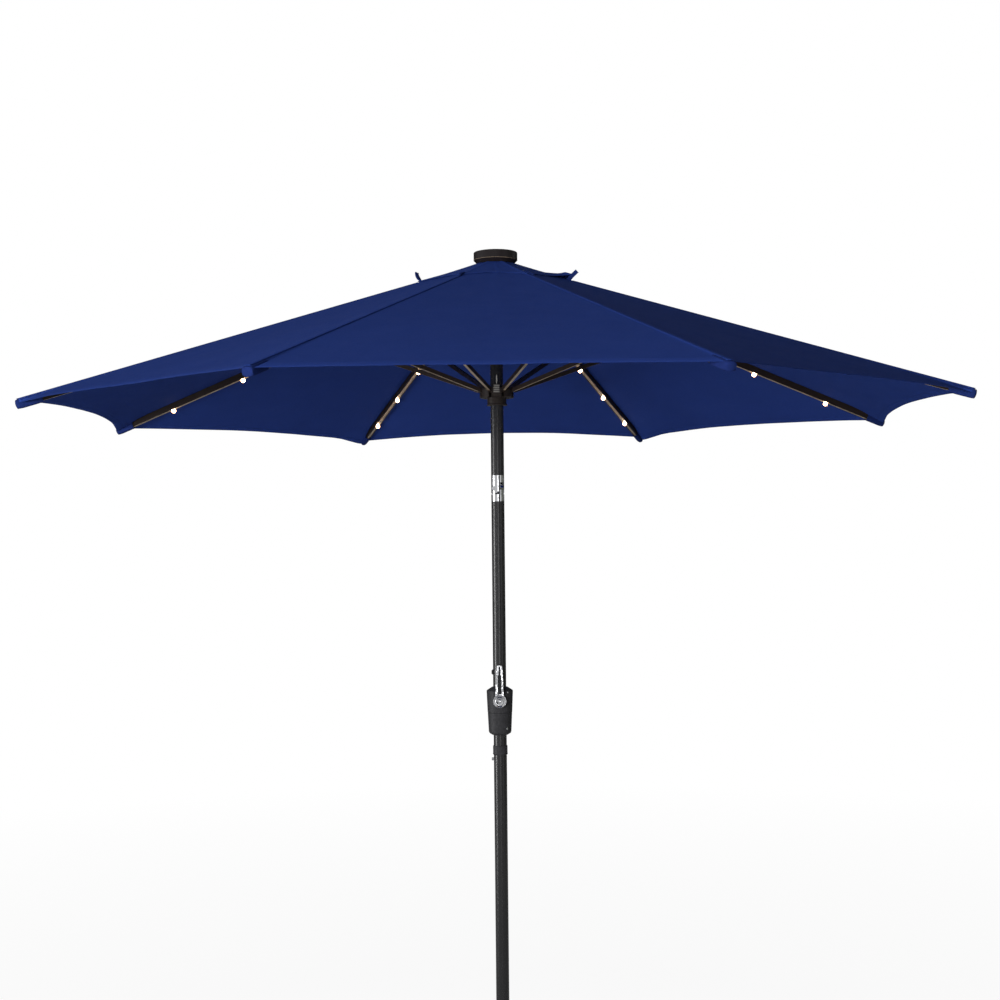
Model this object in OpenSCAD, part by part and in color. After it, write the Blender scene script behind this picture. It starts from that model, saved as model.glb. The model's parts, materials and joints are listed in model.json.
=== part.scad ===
// Market umbrella: a crank lift, a tilting pole, lamps along the ribs and a round cast base.
// Sizes are in millimetres. The origin is on the floor, on the pole's axis, and +Z is up.
// It is drawn open and upright. The crank faces -Y and the snap button faces -X.

/* [Overall] */
// Height of the cap's top above the floor
overall_h = 2500; // [2350:10:2700]

/* [Canopy] */
// Reach of a rib's tip from the pole's axis
canopy_r = 1350; // [1250:10:1500]
// Fall of the canopy along a rib, in degrees
canopy_slope = 18.07; // [14:0.01:22]
// Thickness of the fabric
fabric_t = 1.2; // [0.8:0.1:2]
// How far the hem curves in between two tips
hem_dip = 55; // [20:5:90]
// How far a panel hangs below its straight line
panel_sag = 8; // [0:1:20]
// Inner edge of the main panels, measured along a rib
vent_hole_r = 160; // [120:1:190]
// Outer edge of the vent flap, measured along a rib
vent_flap_r = 243; // [215:1:300]
// How far the flap's edge stands up between two ribs
vent_lift = 14; // [6:1:22]
// How far the flap climbs to meet the cap
flap_rise = 4.1; // [2:0.1:8]
// Length of the pocket that holds a rib's tip
pocket_l = 42; // [30:1:60]

/* [Ribs] */
// Width of a rib's channel
rib_w = 12; // [11:0.5:14]
// Depth of a rib's channel
rib_h = 20; // [16:0.5:24]
// Wall of a rib's channel
rib_wall = 0.8; // [0.6:0.1:1.6]
// Width of each turned-out lip along a rib's lower edge
rib_lip = 1.6; // [1:0.1:2]
// Distance of the ribs' and struts' inner hinges from the pole's axis
hinge_r = 38; // [37:0.5:41]
// Radius of the pins in the top hub
hub_pin_r = 2; // [1.5:0.1:2.4]
// Height of those pins above the middle of the ribs' channels
pin_up = 4; // [3:0.5:5]
// Part of each rib's tip that stands out of its pocket
tip_l = 8; // [5:1:12]

/* [Struts] */
// Distance between a strut's two hinges
strut_len = 565; // [540:1:580]
// Width of a strut's channel
strut_w = 8.6; // [7:0.1:9]
// Depth of a strut's channel
strut_h = 12; // [10:0.5:12]
// Wall of a strut's channel
strut_wall = 0.8; // [0.6:0.1:1.4]
// Radius of the rivet between a strut and its rib
rivet_r = 2.5; // [2:0.1:2.8]
// Depth of that rivet below the middle of the rib's channel
rivet_down = 5; // [4:0.5:5.5]

/* [Lamps] */
// Distance of the first lamp from the pole's axis, on the front and back ribs
lamp_first_r = 710; // [690:5:720]
// Distance between two lamps of one of these ribs
lamp_pitch = 229; // [180:1:230]
// Distance of the first lamp from the pole's axis, on the four side ribs
side_lamp_first_r = 871; // [700:1:900]
// Distance between the two lamps of a side rib
side_lamp_pitch = 262; // [180:1:270]
// Radius of a lamp's round bulb
bulb_r = 6.2; // [5:0.1:7]
// Radius of the lamp wire
wire_r = 1; // [0.8:0.1:1.2]

/* [Pole] */
// Outer diameter of the pole
pole_d = 38; // [36:0.5:40]
// Wall of the pole tubes
pole_wall = 1.2; // [1:0.1:2]
// Height of the seam between the lower and the main tube
seam_z = 1035; // [960:1:1040]
// Length of the spigot below the seam
spigot_l = 110; // [80:5:160]
// Length of the collar over the seam
collar_h = 27; // [22:1:32]
// How far the collar stands out from the pole
collar_t = 2.4; // [1.8:0.1:3.5]
// Distance of the snap button below the seam
snap_drop = 19; // [17:1:30]
// Radius of the snap button
snap_r = 4.2; // [3:0.1:5]
// How far the snap button stands out from the pole
snap_out = 6; // [4:0.5:7]
// Height of the stud that stops the runner
stud_z = 1269; // [1262:1:1281]
// Radius of the stop stud's head
stud_r = 7.5; // [5:0.5:8]
// How far the stop stud stands out from the pole
stud_out = 4.5; // [4:0.5:8]

/* [Tilt joint] */
// Height of the tilt hinge
tilt_z = 1806; // [1750:1:1850]
// Length of the bare chrome joint
tilt_l = 76; // [72:1:90]
// Width of the lower half's tongue
tongue_w = 14; // [12:0.5:16]
// Radius of the rounded ends of the tongue and cheeks
knuckle_r = 17; // [15:0.5:18]
// Radius of the hinge pin
tilt_pin_r = 5; // [4:0.5:6]
// Radius of the push button
tilt_button_r = 7; // [6:0.5:8]
// Direction of the hinge pin around the pole, in degrees
tilt_azimuth = 225; // [180:5:270]

/* [Hub and runner] */
// Radius of the notched crowns of the top hub and of the runner
crown_r = 50; // [48:0.5:51]
// Height of the hub's crown above its hinges
hub_up = 4.5; // [4:0.5:6]
// Height of the hub's crown below its hinges
hub_down = 8; // [6:0.5:9]
// Length of the hub's sleeve below its crown
hub_sleeve = 24; // [15:1:40]
// Height of the runner's crown above its hinges
runner_up = 10; // [8:0.5:12]
// Height of the runner's crown below its hinges
runner_down = 18; // [14:0.5:20]
// Length of the runner's lower collar
runner_collar = 22; // [16:1:26]
// Radius of the runner's lower collar
runner_collar_r = 29; // [26:0.5:30]
// Width of the block that holds the lifting cord
anchor_w = 18; // [14:1:20]
// Width of that block behind, between two struts
anchor_back_w = 11; // [9:0.5:12]
// Height of that block
anchor_h = 24; // [18:1:26]

/* [Lift] */
// Height of the crank's axis
crank_z = 1188; // [1155:1:1205]
// Radius of the crank housing at its upper shoulder
housing_top_r = 38.5; // [35:0.5:40]
// Radius of the crank housing at its lower shoulder
housing_low_r = 33; // [29:0.5:34]
// Height of the housing above the crank's axis
housing_up = 38; // [38:1:50]
// Height of the housing below the crank's axis
housing_down = 101; // [85:1:110]
// Wall of the crank housing
housing_wall = 2.6; // [2:0.1:4]
// Radius of the crank's shaft
shaft_r = 6; // [5:0.5:7]
// Radius of the winding drum
drum_r = 8.5; // [8:0.1:9]
// Length of the crank's arm between its two pivots
arm_l = 96; // [85:1:100]
// Width of the crank's arm at the shaft
arm_w = 25; // [22:0.5:28]
// Width of the crank's arm at its tip
arm_tip_w = 17; // [15:0.5:20]
// Thickness of the crank's arm
arm_t = 9; // [8:0.5:11]
// Radius of the crank's hub
arm_hub_r = 19; // [18:0.5:22]
// Length of the folding grip from its pivot
grip_l = 76; // [60:1:76]
// Width of the folding grip
grip_w = 11; // [9:0.5:12]
// Radius of the pulley in the pole
pulley_r = 11; // [9:0.5:12]
// Height of the pulley above the runner's hinges
pulley_up = 39; // [38:1:60]
// Thickness of the pulley's two rims
pulley_rim = 0.6; // [0.5:0.1:0.8]
// Radius of the lifting cord
cord_r = 1.5; // [1:0.1:1.8]

/* [Cap] */
// Diameter of the cap
cap_d = 128.5; // [122:0.5:150]
// Height of the cap's drum
cap_h = 24; // [22:1:34]
// Radius of the cap's round shoulder
cap_round = 2.5; // [1.5:0.5:4]
// Wall of the cap
cap_wall = 2.5; // [2:0.1:4]
// Radius of the cap's neck, where the fabric meets it
neck_r = 54.5; // [53:0.5:57]
// Height of the cap's neck
neck_h = 10; // [8:0.5:14]
// Diameter of the solar panel
panel_d = 98; // [80:1:102]
// Radius of the battery cells
cell_r = 9; // [7:0.1:9.5]
// Length of the battery cells
cell_l = 65; // [50:1:68]
// Radius of the lamp switch
switch_r = 5; // [4:0.5:6]

/* [Base] */
// Diameter of the base plate
base_d = 500; // [440:10:600]
// Height of the base plate's boss above the floor
boss_z = 52; // [46:1:60]
// Wall of the base plate
plate_wall = 12; // [9:0.5:14]
// Height of the rubber feet
foot_h = 4; // [3:0.5:8]
// Radius of the rubber feet
foot_r = 10; // [8:0.5:12]
// Height of the stem's top above the floor
stem_z = 288; // [240:1:290]
// Wall of the stem
stem_wall = 3; // [2:0.1:4]
// Radius of the stem's flange
flange_r = 42; // [40:0.5:43]
// Height of the hand knob's screw above the floor
knob_z = 245; // [200:1:250]
// Radius of the hand knob's screw
screw_r = 4; // [3:0.5:5]
// Radius over the lobes of the hand knob
knob_r = 23; // [18:0.5:26]

/* [Hidden] */
$fn = 72;
bronze = "#3b322f";
charcoal = "#2c2c2f";
chrome = "#c9ccd2";
navy = "#1d2a5c";
black_plastic = "#26262a";
pale = "#d8d6d0";

rib_count = 8;
gore = 360 / rib_count;
half_gore = gore / 2;
lamp_count = 3;
side_lamp_count = 2;
foot_count = 6;
flange_bolts = 4;
pin_gap = 0.05;      // around a pin in its bore
slip_gap = 0.3;      // between two pieces that pass each other
sew_gap = 0.2;       // from each strip of fabric to the middle of its gore
pole_r = pole_d / 2;
bore_r = pole_r - pole_wall;
plug_r = bore_r - pin_gap;
knuckle_gap = 0.5;   // around the rounded ends of the tilt joint

// Canopy
slope_tan = tan(canopy_slope);
canopy_top_z = overall_h - cap_h - neck_h;
fabric_v = fabric_t / cos(canopy_slope);
flap_rest = fabric_v + slip_gap;      // height of the flap over the panels at a rib
rib_drop = 1.2;                       // from the fabric down to a rib's top
function canopy_z(t) = canopy_top_z - slip_gap - flap_rise - flap_rest - slope_tan * (t - neck_r);

// Linkage: hub hinge, strut rivet and runner hinge make an isosceles triangle.
// A rib's channel runs pin_up below its hub hinge, and the rivet lies rivet_down below the channel's middle.
rivet_v = -pin_up - rivet_down;
rivet_x = sqrt(pow(strut_len, 2) - pow(rivet_v, 2));
strut_angle = canopy_slope + asin(-rivet_v / strut_len);
hub_z = canopy_z(hinge_r) - fabric_v - (rib_drop + rib_h / 2 - pin_up) / cos(canopy_slope);
runner_z = hub_z - 2 * strut_len * sin(strut_angle);
function along_rib(r, v) = (r - hinge_r - v * sin(canopy_slope)) / cos(canopy_slope);
rib_len = along_rib(canopy_r, -pin_up);
rib_start = 17;
tab_r = 5;
hub_tab_w = 8;
rib_tab_w = rib_w - rib_wall;
rib_tab_in = 24;
strut_tab_l = 22;
strut_eye_r = strut_h / 2;
slot_w = strut_w + 2 * slip_gap;
bulb_v = -pin_up - rib_h / 2 - bulb_r * 0.75;

// Tilt joint
tilt_low_z = tilt_z - tilt_l / 2;
tilt_top_z = tilt_z + tilt_l / 2;
plug_l = 40;
cord_offset = 10;
cheek_in = tongue_w / 2 + slip_gap;
button_face = sqrt(pow(pole_r - slip_gap, 2) - pow(tilt_button_r, 2));
button_t = 6;
button_travel = 2.5;

// Lift
pulley_z = runner_z + pulley_up;
groove_w = 2 * cord_r + 0.2;
pulley_w = groove_w + 2 * pulley_rim;
groove_r = pulley_r - 2;
pulley_y = -12;
pulley_pin_r = 1.5;
cord_back_y = pulley_y + groove_r + cord_r;
knot_r = cord_r + 0.6;
knot_in = cord_r / 2;
cord_front_y = pulley_y - groove_r - cord_r;
anchor_in = pole_r + 2.5;
anchor_waist = 9;    // length of its narrow back
anchor_flare = 8;    // length over which it widens
anchor_top_z = runner_z + runner_up + 9;
housing_top_z = crank_z + housing_up;
housing_low_z = crank_z - housing_down;
shoulder = 10;
seam_groove_z = crank_z - 36;
housing_pad_y = housing_top_r + 0.6;
shaft_seat = 4;      // depth of the shaft's end in the crank's hub
arm_back_y = housing_pad_y + slip_gap;
arm_front_y = arm_back_y + arm_t;
grip_t = 5;
grip_y = arm_front_y - grip_t / 2 - 0.4;
grip_eye_r = 3.4;
grip_pin_r = 1.6;
drum_l = 20;
snap_travel = 5;

// Cap
switch_z = overall_h - cap_h * 0.65;

// Base
sock_r = pole_r + 0.35;
sock_depth = 6;
stem_r = sock_r + stem_wall;
knob_in = stem_r + 16;

// ---- Helpers ----

// Rib 1 lies half a gore to the left of the crank's side, and the others follow around the pole
function rib_azimuth(i) = half_gore + gore * (i - 1);

module around(i) {
    rotate([0, 0, rib_azimuth(i)]) children();
}

// A rib's own frame: x runs outward along the rib from its hub hinge
module rib_frame(i) {
    around(i) translate([hinge_r, 0, hub_z]) rotate([0, canopy_slope, 0]) children();
}

// A strut's own frame: x runs outward along the strut from its runner hinge
module strut_frame(i) {
    around(i) translate([hinge_r, 0, runner_z]) rotate([0, -strut_angle, 0]) children();
}

// Turned so that x lies along the tilt hinge's pin
module tilt_frame() {
    translate([0, 0, tilt_z]) rotate([0, 0, tilt_azimuth]) children();
}

module along_x(x0, x1) {
    translate([x0, 0, 0]) rotate([90, 0, 90]) linear_extrude(x1 - x0) children();
}

module rod_y(r, y0, y1) {
    translate([0, y0, 0]) rotate([-90, 0, 0]) cylinder(r = r, h = y1 - y0);
}

module rod_x(r, x0, x1) {
    translate([x0, 0, 0]) rotate([0, 90, 0]) cylinder(r = r, h = x1 - x0);
}

module cross_pin(r, w) {
    rod_y(r, -w / 2, w / 2);
}

module tube(r_out, r_in, z0, z1) {
    translate([0, 0, z0]) difference() {
        cylinder(r = r_out, h = z1 - z0);
        translate([0, 0, -1]) cylinder(r = r_in, h = z1 - z0 + 2);
    }
}

// A straight length of cord between two points
module cord_run(a, b, r) {
    d = b - a;
    len = norm(d);
    translate(a)
        rotate([0, acos(d[2] / len), atan2(d[1], d[0])])
            cylinder(r = r, h = len, $fn = 24);
}

// Points of an arc, for outlines that are spun or extruded
function arc(cx, cy, r, a0, a1, n = 8) =
    [for (k = [0:n]) [cx + r * cos(a0 + (a1 - a0) * k / n), cy + r * sin(a0 + (a1 - a0) * k / n)]];

// ---- Base ----

module base_plate() {
    rim = base_d / 2;
    bead = 5;
    foot_ring = rim - 2.6 * foot_r;
    floor_z = foot_h;
    boss_r = flange_r + 3;
    color(charcoal) difference() {
        rotate_extrude($fn = 96) polygon(concat(
            [[0, boss_z], [boss_r - 3, boss_z]],
            arc(boss_r - 3, boss_z - 3, 3, 90, 0, 4),
            [[boss_r, boss_z - 8]],
            arc(boss_r + 8, boss_z - 8, 8, 180, 262, 5),
            [[rim * 0.45, boss_z - 21], [rim * 0.68, boss_z - 27], [rim - 38, boss_z - 33]],
            [[rim - 36, floor_z + 12.5]],
            arc(rim - bead, floor_z + 7, bead, 80, 0, 6),
            [[rim, floor_z + 1.5], [rim - 1.5, floor_z], [foot_ring, floor_z]],
            [[foot_ring - 3, boss_z - 32 - plate_wall], [boss_r + 20, boss_z - 18 - plate_wall]],
            [[boss_r - 6, boss_z - 14 - plate_wall], [0, boss_z - 14 - plate_wall]]
        ));
        translate([0, 0, boss_z - sock_depth]) cylinder(r = sock_r, h = sock_depth + 1);
    }
}

module base_feet() {
    ring = base_d / 2 - 1.35 * foot_r;
    color("#1b1b1c") for (k = [0:foot_count - 1])
        rotate([0, 0, k * 360 / foot_count]) translate([ring, 0, 0])
            rotate_extrude() polygon([
                [0, 0], [foot_r - 1, 0], [foot_r - 0.4, 1.2], [foot_r - 1.4, foot_h], [0, foot_h]
            ]);
}

module base_stem() {
    flange_t = 8;
    bead_h = 14;
    bolt_ring = flange_r - 9;
    boss_out = stem_r + 15;
    color(charcoal) difference() {
        union() {
            translate([0, 0, boss_z]) rotate_extrude() polygon(concat(
                [[0, 0], [flange_r, 0]],
                arc(flange_r - 3, flange_t - 3, 3, 0, 90, 4),
                [[stem_r + 6, flange_t]],
                arc(stem_r + 6, flange_t + 6, 6, 270, 180, 5),
                [[stem_r, stem_z - boss_z - bead_h]],
                arc(stem_r, stem_z - boss_z - bead_h / 2, bead_h / 2 - 4, -90, 90, 6),
                [[stem_r, stem_z - boss_z - 1], [stem_r - 1, stem_z - boss_z], [0, stem_z - boss_z]]
            ));
            translate([0, 0, knob_z]) rod_x(9, stem_r - 2, boss_out);
            for (k = [0:flange_bolts - 1])
                rotate([0, 0, 45 + k * 90]) translate([bolt_ring, 0, boss_z + flange_t - 1])
                    cylinder(r = 5.5, h = 5, $fn = 6);
        }
        translate([0, 0, boss_z - 1]) cylinder(r = sock_r, h = stem_z);
        translate([0, 0, knob_z]) rod_x(screw_r + pin_gap, 0, boss_out + 1);
    }
}

module base_knob() {
    lobe_r = knob_r * 0.3;
    lobes = 5;
    grip_h = 15;
    color(black_plastic) translate([0, 0, knob_z]) {
        rod_x(screw_r, pole_r + slip_gap, knob_in + 2);
        rod_x(knob_r * 0.42, knob_in, knob_in + grip_h + 4);
        translate([knob_in + 3, 0, 0]) rotate([0, 90, 0]) linear_extrude(grip_h) {
            circle(r = knob_r - lobe_r);
            for (k = [0:lobes - 1])
                rotate(k * 360 / lobes) translate([knob_r - lobe_r, 0]) circle(r = lobe_r, $fn = 32);
        }
    }
}

// ---- Pole ----

module lower_pole() {
    color(charcoal) difference() {
        tube(pole_r, bore_r, boss_z - sock_depth + slip_gap, seam_z);
        translate([0, 0, seam_z - snap_drop]) rod_x(snap_r + pin_gap, -pole_r - 5, 0);
    }
}

module pole_collar() {
    collar_r = pole_r + collar_t;
    color(black_plastic) translate([0, 0, seam_z - 6]) difference() {
        rotate_extrude() polygon(concat(
            [[0, 0], [collar_r - 1.2, 0]],
            arc(collar_r - 0.4, 2.6, 0.9, -60, 60, 5),
            [[collar_r - 0.3, 5], [collar_r - 0.3, collar_h - 1.8]],
            [[collar_r - 1.8, collar_h], [0, collar_h]]
        ));
        translate([0, 0, -1]) cylinder(r = pole_r + pin_gap, h = collar_h + 2);
    }
}

module main_pole() {
    spigot_r = bore_r - pin_gap;
    color(charcoal) {
        difference() {
            union() {
                tube(pole_r, bore_r, seam_z, tilt_low_z);
                tube(spigot_r, spigot_r - pole_wall, seam_z - spigot_l, seam_z + 1);
                tube(bore_r + 0.3, spigot_r - pole_wall, seam_z, seam_z + 30);
                translate([0, 0, stud_z]) rotate([0, 0, 180]) stop_stud();
            }
            translate([0, 0, seam_z - snap_drop]) rod_x(snap_r + pin_gap, -pole_r, 0);
            translate([0, 0, crank_z]) rod_y(shaft_r + slip_gap, -pole_r - 1, pole_r + 1);
        }
    }
}

// A riveted stud with a stepped head, on the +X side
module stop_stud() {
    rod_x(stud_r * 0.72, bore_r + 0.5, pole_r + stud_out);
    rod_x(stud_r, bore_r + 0.5, pole_r + stud_out * 0.55);
}

module snap_button() {
    leaf_x = bore_r - pole_wall - 3;
    leaf_h = 46;
    leaf_w = 9;
    color(chrome) translate([0, 0, seam_z - snap_drop]) difference() {
        union() {
            rod_x(snap_r, -pole_r - snap_out, -leaf_x + 0.5);
            translate([-leaf_x, -leaf_w / 2, -leaf_h / 2]) cube([1, leaf_w, leaf_h]);
        }
        translate([-pole_r - snap_out, 0, 0]) sphere(r = snap_r * 0.5, $fn = 32);
    }
}

module upper_pole() {
    slot_half = pulley_w / 2 + 0.8;
    color(charcoal) difference() {
        tube(pole_r, bore_r, tilt_top_z, hub_z + hub_up - 2);
        translate([-slot_half, -pole_r - 1, pulley_z - pulley_r - slip_gap])
            cube([2 * slot_half, pole_r - 4, 2 * pulley_r + 2 * slip_gap]);
        translate([0, pulley_y, pulley_z]) rod_x(pulley_pin_r + pin_gap, -pole_r, pole_r);
    }
}

// ---- Tilt joint ----

// The joint's outer form between two heights over the hinge
module knuckle_body(z0, z1) {
    translate([0, 0, z0]) cylinder(r = pole_r, h = z1 - z0);
}

module tilt_lower() {
    color(chrome) tilt_frame() difference() {
        union() {
            knuckle_body(-tilt_l / 2, -knuckle_r - knuckle_gap);
            translate([0, 0, -tilt_l / 2 - plug_l]) cylinder(r = plug_r, h = plug_l + 1);
            intersection() {
                knuckle_body(-knuckle_r - 1, knuckle_r);
                union() {
                    rod_x(knuckle_r, -tongue_w / 2, tongue_w / 2);
                    translate([-tongue_w / 2, -pole_r, -knuckle_r - 1])
                        cube([tongue_w, 2 * pole_r, knuckle_r - 3]);
                }
            }
        }
        rod_x(tilt_pin_r + pin_gap, -tongue_w, tongue_w);
        translate([0, cord_offset, -tilt_l / 2 - plug_l - 1])
            cylinder(r = cord_r + slip_gap, h = tilt_l + plug_l);
    }
}

module tilt_upper() {
    outer = pole_r + 1;
    color(chrome) tilt_frame() difference() {
        union() {
            knuckle_body(knuckle_r + knuckle_gap, tilt_l / 2);
            translate([0, 0, tilt_l / 2 - 1]) cylinder(r = plug_r, h = plug_l + 1);
            intersection() {
                knuckle_body(-knuckle_r, knuckle_r + 1);
                union() {
                    rod_x(knuckle_r, -outer, outer);
                    translate([-outer, -pole_r, 2])
                        cube([2 * outer, 2 * pole_r, knuckle_r - 1]);
                }
                union() {
                    translate([cheek_in, -outer, -outer]) cube([outer, 2 * outer, 2 * outer]);
                    translate([-cheek_in - outer, -outer, -outer]) cube([outer, 2 * outer, 2 * outer]);
                }
            }
            rod_x(tilt_pin_r, -cheek_in - 3, cheek_in + 1);
        }
        rod_x(tilt_button_r + pin_gap, button_face - button_t - button_travel - 0.4, outer);
        translate([0, cord_offset, 0]) cylinder(r = cord_r + slip_gap, h = tilt_l / 2 + plug_l + 1);
    }
}

module tilt_button() {
    color(chrome) tilt_frame() {
        rod_x(tilt_button_r, button_face - button_t, button_face - 0.8);
        rod_x(tilt_button_r - 1, button_face - button_t, button_face);
    }
}

// ---- Head ----

module top_hub() {
    slot_in = hinge_r - tab_r - 1.5;
    color(black_plastic) difference() {
        union() {
            difference() {
                union() {
                    translate([0, 0, hub_z - hub_down]) cylinder(r = crown_r, h = hub_up + hub_down);
                    translate([0, 0, hub_z - hub_down - hub_sleeve])
                        cylinder(r1 = pole_r + 3, r2 = pole_r + 5, h = hub_sleeve + 1);
                }
                for (i = [1:rib_count]) around(i)
                    translate([slot_in, -hub_tab_w / 2 - slip_gap, hub_z - 20])
                        cube([crown_r, hub_tab_w + 2 * slip_gap, 40]);
            }
            for (i = [1:rib_count]) around(i)
                translate([hinge_r, 0, hub_z]) cross_pin(hub_pin_r, hub_tab_w + 5);
        }
        translate([0, 0, hub_z - hub_down - hub_sleeve - 1])
            cylinder(r = pole_r + pin_gap, h = hub_sleeve + hub_down + hub_up - 1);
    }
}

module runner() {
    slot_in = hinge_r - strut_eye_r - 0.8;
    foot_z = runner_z - runner_down - runner_collar;
    color(bronze) difference() {
        translate([0, 0, foot_z]) rotate_extrude() polygon(concat(
            [[0, 0], [runner_collar_r, 0], [runner_collar_r + 1, 1.2], [runner_collar_r + 1, 3.6]],
            [[runner_collar_r - 1, 5], [runner_collar_r - 1, runner_collar]],
            [[crown_r - 2, runner_collar], [crown_r, runner_collar + 2]],
            arc(crown_r - 3, runner_collar + runner_down + runner_up - 3, 3, 0, 90, 4),
            [[0, runner_collar + runner_down + runner_up]]
        ));
        translate([0, 0, foot_z - 1]) cylinder(r = pole_r + slip_gap, h = 200);
        for (i = [1:rib_count]) around(i)
            translate([slot_in, -slot_w / 2, runner_z - 60]) cube([crown_r, slot_w, 120]);
        translate([0, 0, anchor_top_z - anchor_h - slip_gap]) linear_extrude(anchor_h + 20)
            polygon(anchor_sides(slip_gap, crown_r + 2));
    }
}

// Plan of the cord's block, made wider by a gap all round, as far out as a front distance
function anchor_sides(gap, front) =
    let (
        back = anchor_back_w / 2 + gap,
        wide = anchor_w / 2 + gap,
        waist = -anchor_in - anchor_waist,
        half = [[back, -anchor_in + gap], [back, waist], [wide, waist - anchor_flare], [wide, -front]]
    )
    concat(half, [for (k = [3:-1:0]) [-half[k][0], half[k][1]]]);

module cord_anchor() {
    front = crown_r + 1;
    edge = 3;
    color(pale) difference() {
        translate([0, 0, anchor_top_z - anchor_h]) intersection() {
            linear_extrude(anchor_h) polygon(anchor_sides(0, front));
            linear_extrude(anchor_h) polygon(concat(
                [[-anchor_w, 0], [anchor_w, 0]],
                arc(anchor_w / 2 - edge, -front + edge, edge, 0, -90, 4),
                arc(-anchor_w / 2 + edge, -front + edge, edge, -90, -180, 4)
            ));
        }
        translate([0, -anchor_in - cord_r - 2.5, anchor_top_z - anchor_h / 2])
            cylinder(r = cord_r + pin_gap, h = anchor_h);
    }
}

// ---- Lift ----

module housing_body() {
    seat = 4;
    groove = 0.9;
    rise = housing_up + housing_down;
    seam_share = (seam_groove_z - housing_low_z - shoulder) / (rise - 2 * shoulder);
    seam_r = housing_low_r + (housing_top_r - housing_low_r) * seam_share;
    pad_w = 2 * arm_hub_r + 2;
    difference() {
        union() {
            difference() {
                rotate_extrude($fn = 96) polygon([
                    [0, housing_low_z],
                    [pole_r + seat, housing_low_z],
                    [housing_low_r - 2, housing_low_z + shoulder * 0.5],
                    [housing_low_r, housing_low_z + shoulder],
                    [seam_r - 0.05, seam_groove_z - groove],
                    [seam_r - groove, seam_groove_z],
                    [seam_r + 0.35, seam_groove_z + groove],
                    [housing_top_r, housing_top_z - shoulder - 1],
                    [housing_top_r - 1.5, housing_top_z - shoulder + 1],
                    [pole_r + seat, housing_top_z],
                    [0, housing_top_z]
                ]);
                rotate_extrude() polygon([
                    [0, housing_low_z + shoulder], [housing_low_r - housing_wall, housing_low_z + shoulder],
                    [housing_top_r - housing_wall, housing_top_z - shoulder - 3],
                    [pole_r + seat, housing_top_z - shoulder + 2], [0, housing_top_z - shoulder + 2]
                ]);
            }
            intersection() {
                translate([0, 0, crank_z]) rod_y(arm_hub_r + 0.5, -housing_pad_y, -pole_r);
                translate([0, 0, crank_z]) cube([pad_w, 2 * housing_pad_y, pad_w], center = true);
            }
            translate([0, 0, crank_z]) rod_y(shaft_r + 3, pole_r, housing_top_r - 2);
        }
        translate([0, 0, housing_low_z - 1]) cylinder(r = pole_r + pin_gap, h = rise + 2);
        translate([0, 0, crank_z])
            rod_y(shaft_r + pin_gap, -housing_pad_y - 1, housing_top_r - housing_wall - 2);
    }
}

module housing_half(side) {
    span = 2 * housing_top_r + 10;
    intersection() {
        housing_body();
        translate([-span / 2, side > 0 ? 0 : -span, housing_low_z - 1])
            cube([span, span, housing_up + housing_down + 2]);
    }
}

module crank_housing_front() {
    color(black_plastic) housing_half(-1);
}

module crank_housing_back() {
    color(black_plastic) housing_half(1);
}

module crank_spool() {
    cheek_r = sqrt(pow(bore_r - slip_gap, 2) - pow(drum_l / 2, 2));
    color(pale) translate([0, 0, crank_z]) {
        rod_y(shaft_r, -arm_back_y - shaft_seat + pin_gap, housing_top_r - housing_wall - 3);
        rod_y(drum_r, -drum_l / 2, drum_l / 2);
        rod_y(cheek_r - 2.5, -drum_l / 2, -drum_l / 2 + 2);
        rod_y(cheek_r - 2.5, drum_l / 2 - 2, drum_l / 2);
    }
}

module crank_arm() {
    neck_w = grip_w * 0.5;
    tip_z = arm_l + 7;
    color(chrome) translate([0, 0, crank_z]) difference() {
        union() {
            rod_y(arm_hub_r, -arm_back_y - arm_t + 1.5, -arm_back_y);
            rod_y(arm_hub_r * 0.66, -arm_front_y - 1.5, -arm_back_y);
            translate([0, -arm_back_y, 0]) rotate([90, 0, 0]) linear_extrude(arm_t) polygon([
                [-arm_w / 2, 0], [arm_w / 2, 0], [arm_tip_w / 2, arm_l - 2],
                [arm_tip_w / 2, tip_z - 3], [arm_tip_w / 2 - 2, tip_z],
                [-arm_tip_w / 2 + 2, tip_z], [-arm_tip_w / 2, tip_z - 3], [-arm_tip_w / 2, arm_l - 2]
            ]);
            translate([0, -grip_y, arm_l]) rod_x(grip_pin_r, -arm_tip_w / 2, arm_tip_w / 2);
        }
        // channel that the folded grip lies in, and the fork for its neck
        difference() {
            union() {
                translate([-grip_w / 2 - slip_gap, -arm_front_y - 2, arm_l - grip_l - slip_gap])
                    cube([grip_w + 2 * slip_gap, grip_t + 2.8, grip_l - 21 + slip_gap]);
                translate([-neck_w / 2 - slip_gap, -arm_front_y - 2, arm_l - 24])
                    cube([neck_w + 2 * slip_gap, grip_t + 2.8, 60]);
                translate([0, -grip_y, arm_l])
                    rod_x(grip_eye_r + slip_gap, -neck_w / 2 - slip_gap, neck_w / 2 + slip_gap);
            }
            translate([0, -grip_y, arm_l]) rod_x(grip_pin_r, -arm_tip_w / 2, arm_tip_w / 2);
        }
        rod_y(shaft_r + pin_gap, -arm_back_y - shaft_seat, -arm_back_y + 1);
    }
}

module crank_grip() {
    neck_w = grip_w * 0.5;
    color(black_plastic) translate([0, -grip_y, crank_z + arm_l]) difference() {
        union() {
            translate([-grip_w / 2, -grip_t / 2, -grip_l]) cube([grip_w, grip_t, grip_l - 22]);
            translate([-neck_w / 2, -grip_t / 2, -24]) cube([neck_w, grip_t, 24]);
            rod_x(grip_eye_r, -neck_w / 2, neck_w / 2);
        }
        rod_x(grip_pin_r + pin_gap, -neck_w, neck_w);
    }
}

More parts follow.
